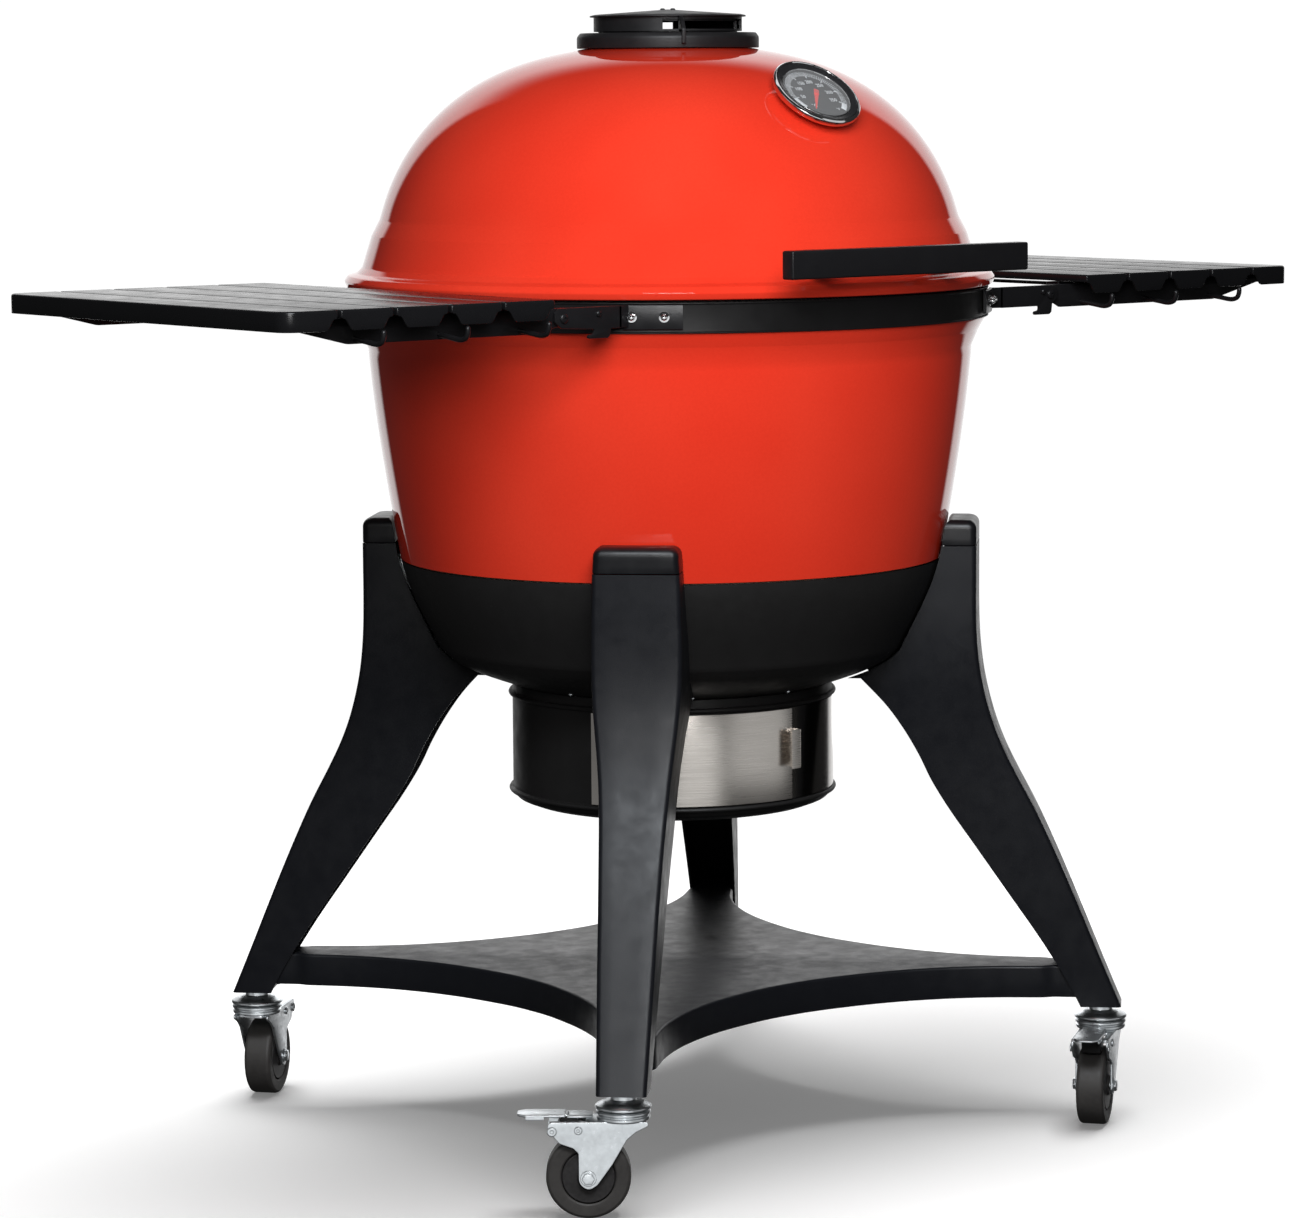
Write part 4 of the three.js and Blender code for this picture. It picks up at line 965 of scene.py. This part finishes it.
CAPV, CAPF = rings(cap_loops())
for name, deg in CORNERS:
    T = rotz(deg)
    put(f"leg_{name}_channel", xf(LEGV, T), LEGF, "powder_coat", "root", "powder_coat", (f"leg_{name}",), angle=34)
    put(f"leg_cap_{name}", xf(CAPV, T), CAPF, "leg_cap_plastic", "root", "satin_black", angle=34)
    p = Part()
    foot = fillet([(421.5, -20.8), (455.5, -20.8), (455.5, 20.8), (421.5, 20.8)], 2.5, 3)
    p.add(slab(foot, 118.3, 123.5, 0.6, 2), 0, T)
    p.put(f"leg_foot_plate_{name}", "powder_coat", "root", slot="powder_coat")
    # bracket between bowl and leg
    p = Part()
    p.add(slab(rect(-34, 34, 536, 574, 3, 4), 302.0, 305.0, 0.7, 2), 0, T @ YZ)
    for t in (-34, 31):
        prof = [(305, 536.5), (305, 573.5), (math.sqrt(278.6**2 - 34**2), 573.5), (math.sqrt(273.4**2 - 34**2), 556), (math.sqrt(265.6**2 - 34**2), 536.5)]
        p.add(slab(fillet(prof, 2, 3), t, t + 3, 0.7, 2), 0, T @ XZ)
    p.put(f"leg_bracket_{name}_channel", "zinc_plate", "root", slot="zinc_plate", replaces=(f"leg_bracket_{name}",))

# -------------------------------------------------------------- lower shelf
half = [(426, 20.2), (405, 20.3), (392, 20.6), (380, 24.6), (362, 25.8), (340, 27.6), (315, 31.6), (290, 37.5), (265, 45.8), (240, 56.2), (210, 72.0), (178, 93.0), (152, 112.6)]
quarter = [(r, -t) for r, t in reversed(half)] + half
outline = []
for k in range(4):
    a = (-135 + 90 * k) * D
    outline += [(r * math.cos(a) - t * math.sin(a), r * math.sin(a) + t * math.cos(a)) for r, t in quarter]
    m = a + 45 * D
    outline.append((186.3 * math.cos(m), 186.3 * math.sin(m)))
sm = []
o = np.array(outline)
sharp = {i for i in range(len(o)) if abs(np.hypot(*o[i]) - np.hypot(426, 20.2)) < 0.5}
cm = catmull(outline, 4, True)
N = len(outline)
for i in range(N):
    nxt = (i + 1) % N
    if i in sharp or nxt in sharp:
        for k in range(4):
            sm.append(tuple(o[i] * (1 - k / 4) + o[nxt] * (k / 4)))
    else:
        sm += [tuple(q) for q in cm[i * 4:(i + 1) * 4]]
TOPZ, EDGEZ, RT, TH_ = 160.0, 127.2, 2.8, 2.5
loops = []
for z, d in [(EDGEZ + 2.0, TH_ * 0.9), (EDGEZ + 0.4, TH_ * 0.8), (EDGEZ, TH_ * 0.5), (EDGEZ + 0.4, 0.15), (EDGEZ + 1.0, 0.0), (143, 0.0)]:
    loops.append([(x, y, z) for x, y in inset(sm, d)])
for k in range(0, 7):
    a = math.pi / 2 * k / 6
    loops.append([(x, y, TOPZ - RT + RT * math.sin(a)) for x, y in inset(sm, RT * (1 - math.cos(a)))])
innl = [[(x, y, TOPZ - TH_ - 2.2) for x, y in inset(sm, TH_)], [(x, y, TOPZ - TH_) for x, y in inset(sm, TH_ + 2.2)]]
allloops = list(reversed(innl)) + loops
v, f = rings(allloops)
put("lower_shelf_pressing", v, f, "powder_coat", "root", "powder_coat", ("lower_shelf",), angle=36)

# ------------------------------------------------------------- side shelves
X0, X1, Y0, Y1, ZT = 340.0, 640.0, -256.0, 230.0, 860.0
PITCH = (X1 - X0 + 3.0) / 5


def tray(outl, zt, zb, thick, r_top, n=4):
    """Shallow pressed tray, open below, whose wall reaches down to zb(x, y)."""
    loops = []
    b = [zb(x, y) for x, y in outl]
    for off, dz in ((thick, 1.0), (thick, 0.25), (thick * 0.5, 0.0), (0.2, 0.15), (0.0, 0.6)):
        loops.append([(x, y, z + dz) for (x, y), z in zip(inset(outl, off), b)])
    loops.append([(x, y, (z + zt - r_top) / 2) for (x, y), z in zip(outl, b)])
    for k in range(n + 1):
        a = math.pi / 2 * k / n
        loops.append([(x, y, zt - r_top + r_top * math.sin(a)) for x, y in inset(outl, r_top * (1 - math.cos(a)))])
    inn = [[(x, y, zt - thick) for x, y in inset(outl, thick + 1.2)], [(x, y, zt - thick - 1.2) for x, y in inset(outl, thick)]]
    return rings(inn + loops)


def densify(pts, step):
    out = []
    for i, p_ in enumerate(pts):
        q = pts[(i + 1) % len(pts)]
        d = math.dist(p_, q)
        n = max(1, int(math.ceil(d / step)))
        out += [(p_[0] + (q[0] - p_[0]) * k / n, p_[1] + (q[1] - p_[1]) * k / n) for k in range(n)]
    return out


for side, s in (("left", -1), ("right", 1)):
    body = f"{side}_shelf"
    for i in range(5):
        a, b = X0 + i * PITCH, X0 + i * PITCH + PITCH - 3.0
        last = i == 4
        rad = [2.0, 17.0 if last else 2.0, 17.0 if last else 2.0, 2.0]
        ol = fillet([(a, Y0), (b, Y0), (b, Y1), (a, Y1)], rad, 8)
        # extra points near the tab corners
        extra = []
        for j, q in enumerate(ol):
            w = ol[(j + 1) % len(ol)]
            extra.append(q)
            if abs(q[1] - w[1]) < 1e-6 and abs(q[0] - w[0]) > 30:
                xs = sorted({a + 4.5, a + 6.5, a + 9, a + 11.5, a + 14} | (set() if last else {b - 4.5, b - 6.5, b - 9, b - 11.5, b - 14}))
                if w[0] < q[0]:
                    xs = xs[::-1]
                extra += [(x, q[1]) for x in xs if min(q[0], w[0]) < x < max(q[0], w[0])]
        ol = densify(extra, 30)

        def zb(x, y, a=a, b=b, last=last):
            if min(abs(y - Y0), abs(y - Y1)) > 18 and not (last and x > b - 18):
                return 852.5
            if last and x > b - 18:
                return 841.0
            if min(abs(y - Y0), abs(y - Y1)) > 1e-3:
                return 852.5
            d = min(x - a, 1e9 if last else b - x)
            if d < 4.4:
                return 851.5
            if d > 13.5:
                return 841.0
            t = (d - 4.4) / 9.1
            return 851.5 - 10.5 * (math.sin(t * math.pi / 2) ** 1.5)
        v, f = tray(ol, ZT, zb, 2.4, 2.6)
        v = v * np.array([s, 1, 1])
        put(f"{side}_slat_{i + 1}", v, f, "slat_black", body, "slat_black", (f"{side}_shelf_top",) if i == 0 else (), angle=34)
    p = Part()
    for y0 in (-206, 164):
        p.add(slab(rect(X0 + 8, X1 - 8, y0, y0 + 20, 3, 3), 848.1, 851.0, 0.7, 2), 0, np.diag([s, 1, 1, 1.0]))
    for i in range(5):
        for y0 in (-196, 174):
            p.add((xf(lathe([(0, 846.6), (2.4, 846.9), (3.4, 848.1), (3.4, 848.6), (0, 848.6)], 20, False)[0], rotz(0, s * (X0 + i * PITCH + 30), y0)),
                   lathe([(0, 846.6), (2.4, 846.9), (3.4, 848.1), (3.4, 848.6), (0, 848.6)], 20, False)[1]))
    p.put(f"{side}_shelf_battens", "slat_dark", body, slot="slat_black")
    # folding frame
    p = Part()
    armp = [(302, 834), (304, 832.4), (320, 832), (330, 826.6), (553, 826.6), (633, 846.0), (633, 850.0), (306, 850.0), (302, 844)]
    for yc, fl in ((-225.5, 1), (203.5, -1)):
        ap = fillet([(s * x, z) for x, z in armp], [4, 3, 8, 5, 22, 1, 1, 2, 3], 5)
        p.add(slab(ap, yc - 2, yc + 2, 1.0, 3), 0, XZ)
        y0, y1 = (yc + 1.5, yc + 14) if fl > 0 else (yc - 14, yc - 1.5)
        p.add(slab(rect(*sorted((s * 345, s * 628)), y0, y1, 2, 3), 845.3, 847.5, 0.7, 2))
    p.add(slab(rect(*sorted((s * 578, s * 598)), -226.5, 204.5, 1.5, 3), 838.2, 847.5, 1.5, 3))
    p.add(slab(rect(*sorted((s * 380, s * 402)), -226.5, 204.5, 1.5, 3), 845.3, 847.5, 0.7, 2))
    p.put(f"{side}_frame_arms", "satin_black", body, slot="satin_black", replaces=(f"{side}_shelf_frame",))
    for k, x in enumerate((360, 452, 545)):
        line = catmull([(s * x, -222, 831.5), (s * x, -229, 831.0), (s * x, -246, 829.2), (s * x, -260, 827.8), (s * x, -268.4, 829.6), (s * x, -271.6, 834), (s * x, -272.2, 838.6)], 6)
        v, f = tube(line, 2.5, 16)
        put(f"{side}_hook_{k + 1}", v, f, "satin_black", body, "satin_black")
    # pivot brackets on the rim band
    for end, fy_ in (("front", -1), ("rear", 1)):
        p = Part()
        az = [s * 46.5, s * 36.5] if fy_ < 0 else [s * 128.5, s * 138.5]
        sec = fillet([(324.0, 826.2), (327.2, 826.2), (327.2, 850), (324.0, 850)], [0.6, 1.2, 1.2, 0.6], 3)
        p.add(lathe(sec, 16, True, min(az), max(az)))
        yy = -230.0 if fy_ < 0 else 208.0
        x0 = 243 if fy_ < 0 else 247
        if s < 0:
            armq = [(x0, 829), (256, 829), (257, 822.5), (260, 820.2), (283, 820.2), (283, 823.6), (277, 824.6), (275, 829), (314, 831), (322, 837), (322, 846), (317, 850), (x0, 850)]
        else:
            armq = [(x0, 829), (297, 829), (296, 824.6), (290, 823.6), (290, 820.2), (311, 820.2), (314, 822.5), (315, 831), (322, 837), (322, 846), (317, 850), (x0, 850)]
        p.add(slab(fillet([(s * x, z) for x, z in armq], 1.6, 3), yy - 1.6, yy + 1.6, 0.6, 2), 0, XZ)
        if fy_ < 0:
            neck = fillet([(231.3, -227.3), (233.5, -229.5), (243, -231.6), (246, -231.6), (246, -228.4), (235.2, -223.2)], [0.4, 1.5, 2, 0.3, 1.5, 0.4], 3)
            p.add(slab([(s * x, y) for x, y in neck], 829.2, 849.8, 0.5, 2))
        p.put(f"shelf_bracket_{side}_{end}_plate", "satin_black", "root", slot="satin_black", replaces=(f"shelf_bracket_{side}_{end}",))
        # pivot stud with a domed end, and a second small stud
        o_ = -1 if fy_ < 0 else 1
        screw(aim((s * 312, yy + o_ * 1.6, 840.5), (0, o_, 0)), 4.6, 3.0, f"shelf_pivot_{side}_{end}", "root", "satin_black")
        sx = 271 if s < 0 else 302
        screw(aim((s * sx, yy + o_ * 1.6, 843.5), (0, o_, 0)), 3.0, 2.6, f"shelf_stop_{side}_{end}", "root", "satin_black")
        for k, aa in enumerate(((45.0, 39.6) if fy_ < 0 else (131.5, 136.5))):
            q = at(327.2, s * aa, 838.4)
            acorn(aim(q, (math.sin(s * aa * D), -math.cos(s * aa * D), 0)), 1.0, f"bracket_nut_{side}_{end}_{k + 1}")

# ------------------------------------------------------------------ casters
YAW = {"front_left": math.atan2(0.625, -0.78), "front_right": math.atan2(-0.599, -0.8), "rear_left": math.atan2(0.633, 0.773), "rear_right": math.pi / 2}
SG = {"front_left": (-1, -1), "front_right": (1, -1), "rear_right": (1, 1), "rear_left": (-1, 1)}
side_pts = [(71.5, 87), (59.8, 73.4), (46.9, 68.8), (42.2, 64), (42, 34.6), (32.8, 28.0), (24.4, 33.6), (10.5, 53), (-3.5, 77), (-11.7, 84), (-23.4, 89.8), (-23.4, 94), (70, 94)]
for name, deg in CORNERS:
    sx, sy_ = SG[name]
    T = rotz(YAW[name] / D, sx * 311, sy_ * 311)
    brake = name.startswith("front")
    # stem with the upper race
    st = fillet([(0, 103.5), (23.5, 103.5), (26.5, 104.2), (26.7, 106.0), (25.6, 107.2), (19.5, 110.2), (12.8, 111.6), (11.8, 112.4), (11.8, 117.4), (6, 117.6), (6, 139), (0, 139)],
                [0, 1, 0.8, 0.8, 1.0, 3, 1, 0.6, 0.6, 0.3, 1, 0], 4, False)
    v, f = lathe(st, 72, False)
    put(f"caster_stem_{name}_race", xf(v, T), f, "zinc_plate", "root", "zinc_plate", (f"caster_stem_{name}",), angle=38)
    p = Part()
    hexa = fillet([(9.4 * math.cos(a * 60 * D), 9.4 * math.sin(a * 60 * D)) for a in range(6)], 0.6, 2)
    p.add(slab(hexa, 112.2, 117.2, 0.8, 2), 0, T)
    p.put(f"caster_stem_nut_{name}", "zinc_plate", "root")
    # fork
    p = Part()
    p.add(lathe(fillet([(0, 93.0), (24, 93.0), (25.2, 94.4), (25.2, 96.6), (24.0, 97.4), (24.0, 98.6), (25.8, 99.4), (25.8, 101.2), (24.6, 102.6), (17, 103.0), (0, 103.0)],
                       [0, 1, 0.6, 0.6, 0.4, 0.4, 0.6, 0.8, 0.8, 1, 0], 3, False), 72, False))
    topo = fillet([(-23.4, -12), (-12, -18.6), (66, -18.6), (70.5, -12), (70.5, 12), (66, 18.6), (-12, 18.6), (-23.4, 12)], 4, 4)
    if brake:
        # two rails and a rear bridge leave the window for the brake shoe
        p.add(slab(rect(-22, 35, -18, 18, 3, 3), 90.8, 94.0, 0.8, 2))
        for t in (-18.6, 12.4):
            p.add(slab(rect(30, 69, t, t + 6.2, 2, 3), 90.8, 94.0, 0.8, 2))
    else:
        p.add(slab(topo, 90.8, 94.0, 0.8, 2))
    so = fillet(side_pts, [7, 5, 5, 4, 9, 9, 9, 30, 8, 6, 2, 2, 4], 6)
    for t in (-18.9, 16.5):
        p.add(slab(so, t, t + 2.4, 0.7, 3), 0, XZ)
    v, f = lathe(fillet([(0, -22.4), (3.4, -22.4), (4.0, -21.8), (4.0, 21.8), (3.4, 22.4), (0, 22.4)], 0.4, 2, False), 32, False)
    Ax = np.array(Matrix.Translation((33, 0, 40)) @ Matrix.Rotation(90 * D, 4, "X"))
    p.add((xf(v, Ax), f))
    for t, sg in ((-18.9, -1), (18.9, 1)):
        M_ = aim((33, t, 40), (0, sg, 0))
        p.add(slab(fillet([(6.2 * math.cos(a * 60 * D), 6.2 * math.sin(a * 60 * D)) for a in range(6)], 0.8, 3), 0.4, 3.6, 0.8, 3), 0, M_)
        v, f = lathe(fillet([(0, 0), (7.6, 0), (7.6, 0.5), (7.0, 0.8), (0, 0.8)], 0.2, 2, False), 40, False)
        p.add((xf(v, M_), f))
        for (u, z), r_ in (((66.8, 85), 4.6), ((42.2, 86), 3.9)):
            M2 = aim((u, t, z), (0, sg, 0))
            v, f = lathe(fillet([(0, 0), (r_, 0), (r_, 0.8), (r_ * 0.8, 1.3), (r_ * 0.45, 1.4), (r_ * 0.3, 0.9), (0, 0.9)], [0, 0.2, 0.3, 0.3, 0.2, 0.2, 0], 2, False), 32, False)
            p.add((xf(v, M2), f))
    p.v = [xf(v, T) for v in p.v]
    p.put(f"caster_fork_{name}_steel", "zinc_plate", f"fork_{name}", slot="zinc_plate", replaces=(f"caster_fork_{name}",), angle=38)
    # wheel: tread and hub
    WT = T @ Ax
    tread = fillet([(25.9, -12.6), (27.2, -13.6), (36.9, -13.9), (39.2, -12.6), (40, -10.2), (40, 10.2), (39.2, 12.6), (36.9, 13.9), (27.2, 13.6), (25.9, 12.6)], [0.3, 1, 1.5, 1.5, 1.5, 1.5, 1.5, 1.5, 1, 0.3], 3)
    v, f = lathe(tread, 112)
    put(f"caster_tread_{name}", xf(v, WT), f, "wheel_rubber", f"wheel_{name}", "wheel_rubber", (f"caster_wheel_{name}",), angle=50)
    p = Part()
    hub = fillet([(4.7, -15.4), (9.5, -15.4), (11, -13.4), (22.6, -13.2), (24.4, -13.4), (24.8, -12.0), (24.9, -9.6), (26.2, -9.4), (26.2, 9.4), (24.9, 9.6), (24.8, 12.0), (24.4, 13.4), (22.6, 13.2), (11, 13.4), (9.5, 15.4), (4.7, 15.4)],
                 [0.4, 0.8, 1, 0.5, 0.6, 0.4, 0.3, 0.2, 0.2, 0.3, 0.4, 0.6, 0.5, 1, 0.8, 0.4], 3)
    p.add(lathe(hub, 96))
    p.v = [xf(v, WT) for v in p.v]
    p.put(f"caster_hub_{name}", "hub_plastic", f"wheel_{name}", slot="wheel_rubber", angle=40)
    if brake:
        p = Part()
        plate = fillet([(54, -13.5), (92, -13.5), (99.6, -7.5), (99.6, 7.5), (92, 13.5), (54, 13.5)], [1.5, 5, 5, 5, 5, 1.5], 5)
        p.add(slab(plate, 97.4, 99.6, 0.8, 3))
        for t in (-13.4, 11.6):
            p.add(slab(rect(74, 92, 94.6, 98.6, 1.5, 3), t, t + 1.8, 0.7, 2), 0, XZ)
        inner_pl = fillet([(28.4, -9), (38, -12.4), (52.6, -12.4), (52.6, 12.4), (38, 12.4), (28.4, 9)], [2, 3, 1, 1, 3, 2], 4)
        p.add(slab(inner_pl, 96.4, 98.6, 0.8, 3))
        p.add(slab(rect(50, 56.5, -7, 7, 1, 2), 96.6, 98.6, 0.6, 2))
        p.v = [xf(v, T) for v in p.v]
        p.put(f"brake_pedal_{name}_plate", "zinc_plate", f"pedal_{name}", slot="zinc_plate", replaces=(f"brake_pedal_{name}",), angle=38)
        p = Part()
        p.add(slab(fillet([(38.4, 83.9), (50, 79.3), (61.6, 78), (61.6, 90), (58, 96.8), (43, 96.8), (38.4, 90)], 1.6, 3), -9.8, 9.8, 1.2, 3), 0, XZ)
        p.v = [xf(v, T) for v in p.v]
        p.put(f"brake_shoe_{name}", "brake_black", f"pedal_{name}", slot="wheel_rubber", angle=38)

# ------------------------------------------------- CAD nodes that stay shown
for n, ob in frame["nodes"].items():
    m = MAT.get(REC_SLOT.get(n, "satin_black"), MAT["satin_black"])
    if ob.material_slots:
        for s_ in ob.material_slots:
            s_.material = m
    else:
        ob.data.materials.append(m)

# -------------------------------------------------------------------- stage
# b points from the object to the camera, r to the picture's right
bvec, rvec = Vector((-0.625, -0.780, 0)), Vector((0.780, -0.625, 0))
floor_me = bpy.data.meshes.new("floor")
floor_me.from_pydata([(-40, -40, 0), (40, -40, 0), (40, 40, 0), (-40, 40, 0)], [], [(0, 1, 2, 3)])
floor = bpy.data.objects.new("floor", floor_me)
scene.collection.objects.link(floor)
floor.visible_glossy = False
floor.visible_shadow = False
floor.visible_diffuse = False
fm = bpy.data.materials.new("floor_paper")
fm.use_nodes = True
ft = fm.node_tree
fb = ft.nodes["Principled BSDF"]
fb.inputs["Base Color"].default_value = (0.93, 0.93, 0.93, 1)
fb.inputs["Roughness"].default_value = 0.9
fb.inputs["Specular IOR Level"].default_value = 0.1
fb.inputs["Emission Color"].default_value = (1, 1, 1, 1)
fb.inputs["Emission Strength"].default_value = 0.17
# the paper fades into the white surround a few metres out, so no horizon shows
fco = ft.nodes.new("ShaderNodeTexCoord")
fln = ft.nodes.new("ShaderNodeVectorMath")
fln.operation = "LENGTH"
ft.links.new(fco.outputs["Object"], fln.inputs[0])
fmr = ft.nodes.new("ShaderNodeMapRange")
fmr.interpolation_type = "SMOOTHSTEP"
fmr.inputs["From Min"].default_value = 0.9
fmr.inputs["From Max"].default_value = 2.3
fmr.inputs["To Min"].default_value = 1.0
fmr.inputs["To Max"].default_value = 0.0
ft.links.new(fln.outputs["Value"], fmr.inputs["Value"])
ft.links.new(fmr.outputs["Result"], fb.inputs["Alpha"])
floor_me.materials.append(fm)

# surround: white to the eye, dim to reflections but for a lit backdrop
# behind the object
world = bpy.data.worlds.new("studio")
scene.world = world
world.use_nodes = True
wt = world.node_tree
wt.nodes.clear()


def wmath(op, a, b=None, c=None):
    n = wt.nodes.new("ShaderNodeMath")
    n.operation = op
    for i, v in enumerate((a, b, c)):
        if v is None:
            continue
        if isinstance(v, (int, float)):
            n.inputs[i].default_value = v
        else:
            wt.links.new(v, n.inputs[i])
    return n.outputs["Value"]


def wstep(v, lo_, hi_):
    n = wt.nodes.new("ShaderNodeMapRange")
    n.interpolation_type = "SMOOTHSTEP"
    n.inputs["From Min"].default_value = lo_
    n.inputs["From Max"].default_value = hi_
    wt.links.new(v, n.inputs["Value"])
    return n.outputs["Result"]


wo = wt.nodes.new("ShaderNodeOutputWorld")
wc = wt.nodes.new("ShaderNodeTexCoord")
ws = wt.nodes.new("ShaderNodeSeparateXYZ")
wt.links.new(wc.outputs["Generated"], ws.inputs["Vector"])
dx, dy, dz = (ws.outputs[k] for k in "XYZ")
flat = wmath("MAXIMUM", wmath("SQRT", wmath("ADD", wmath("MULTIPLY", dx, dx), wmath("MULTIPLY", dy, dy))), 1e-4)
ahead = wmath("DIVIDE", wmath("ADD", wmath("MULTIPLY", dx, -bvec.x), wmath("MULTIPLY", dy, -bvec.y)), flat)
window = wmath("MULTIPLY", wstep(ahead, math.cos(33 * D), math.cos(28 * D)), wmath("MULTIPLY", wstep(dz, -0.42, -0.20), wmath("SUBTRACT", 1.0, wstep(dz, 0.42, 0.66))))
lp = wt.nodes.new("ShaderNodeLightPath")
glossy = wmath("MULTIPLY_ADD", window, 1.15, 0.03)
diffuse = 0.115
strength = wmath("ADD", wmath("MULTIPLY", lp.outputs["Is Glossy Ray"], glossy), wmath("MULTIPLY", wmath("SUBTRACT", 1.0, lp.outputs["Is Glossy Ray"]), diffuse))
cam_ray = lp.outputs["Is Camera Ray"]
strength = wmath("ADD", wmath("MULTIPLY", cam_ray, 1.05), wmath("MULTIPLY", wmath("SUBTRACT", 1.0, cam_ray), strength))
bg = wt.nodes.new("ShaderNodeBackground")
bg.inputs["Color"].default_value = (1, 1, 1, 1)
wt.links.new(strength, bg.inputs["Strength"])
wt.links.new(bg.outputs["Background"], wo.inputs["Surface"])


def group_of(name, materials, extra=()):
    """The mesh objects with one of these materials, plus any extra objects, for a light of their own."""
    c = bpy.data.collections.new(name)
    mats = {MAT[k] for k in materials}
    for ob in scene.objects:
        if ob.type == "MESH" and any(m.material in mats for m in ob.material_slots):
            c.objects.link(ob)
    for ob in extra:
        c.objects.link(ob)
    return c


def softbox(name, loc, target, sx, sy_, power, color=(1, 1, 1), mirror=False, only=None):
    ld = bpy.data.lights.new(name, "AREA")
    ld.shape = "RECTANGLE"
    ld.size, ld.size_y, ld.energy, ld.color = sx, sy_, power, color
    ob = bpy.data.objects.new(name, ld)
    scene.collection.objects.link(ob)
    ob.location = loc
    ob.rotation_mode = "QUATERNION"
    ob.rotation_quaternion = (Vector(target) - Vector(loc)).to_track_quat("-Z", "Y")
    ob.visible_camera = False
    ob.visible_glossy = mirror
    if only is not None:
        ob.light_linking.receiver_collection = only
    return ob


def up_(z):
    return Vector((0, 0, z))


bright = group_of("bright_metal", {"zinc_plate", "stainless", "stainless_dark", "stainless_rod", "chrome", "galvanised"})
satin = group_of("satin_parts", {"powder_coat", "leg_cap_plastic", "satin_black", "cast_black", "slat_black", "slat_dark", "heat_black", "hub_plastic", "wheel_rubber", "bezel_black"})
ground = group_of("ground", set(), (floor,))
grill = bpy.data.collections.new("grill")
for ob in scene.objects:
    if ob.type == "MESH" and ob is not floor:
        grill.objects.link(ob)
softbox("key_front", bvec * 1.40 + rvec * 0.10 + up_(1.46), (0, 0, 0.86), 0.7, 0.6, 18.5, only=grill)
softbox("fill_back", -bvec * 3.2 + up_(1.7), (0, 0, 0.7), 2.0, 1.6, 50, only=grill)
softbox("fill_left", -rvec * 3.0 - bvec * 1.8 + up_(1.5), (0, 0, 0.7), 1.4, 1.6, 3, only=grill)
softbox("fill_right", rvec * 3.0 - bvec * 1.8 + up_(1.5), (0, 0, 0.7), 1.4, 1.6, 3, only=grill)
softbox("lip_light", bvec * 3.4 + up_(1.50), (0, 0, 0.86), 1.0, 0.5, 26, mirror=True, only=grill)
softbox("floor_light", up_(4.2) - bvec * 0.3, (0, 0, 0), 3.4, 3.4, 290, only=ground)
softbox("leg_sheen", bvec * 2.3 + up_(2.45), (0, 0, 0.30), 1.3, 0.6, 48, (0.90, 0.95, 1.0), mirror=True, only=satin)
for k, (q, tgt, w, h, pw) in enumerate((
        (bvec * 2.5 + up_(-0.25), (0, 0, 0.1), 3.2, 2.5, 25),
        (bvec * 1.3 - rvec * 2.5 + up_(0.4), (0, 0, 0.4), 2.4, 2.2, 8),
        (bvec * 1.3 + rvec * 2.5 + up_(0.4), (0, 0, 0.4), 2.4, 2.2, 11),
        (up_(3.4), (0, 0, 0.3), 2.4, 2.4, 18),
        (-bvec * 2.8 + up_(0.9), (0, 0, 0.4), 2.4, 2.0, 13))):
    softbox(f"metal_light_{k + 1}", q, tgt, w, h, pw, (0.97, 0.99, 1.0), mirror=True, only=bright)
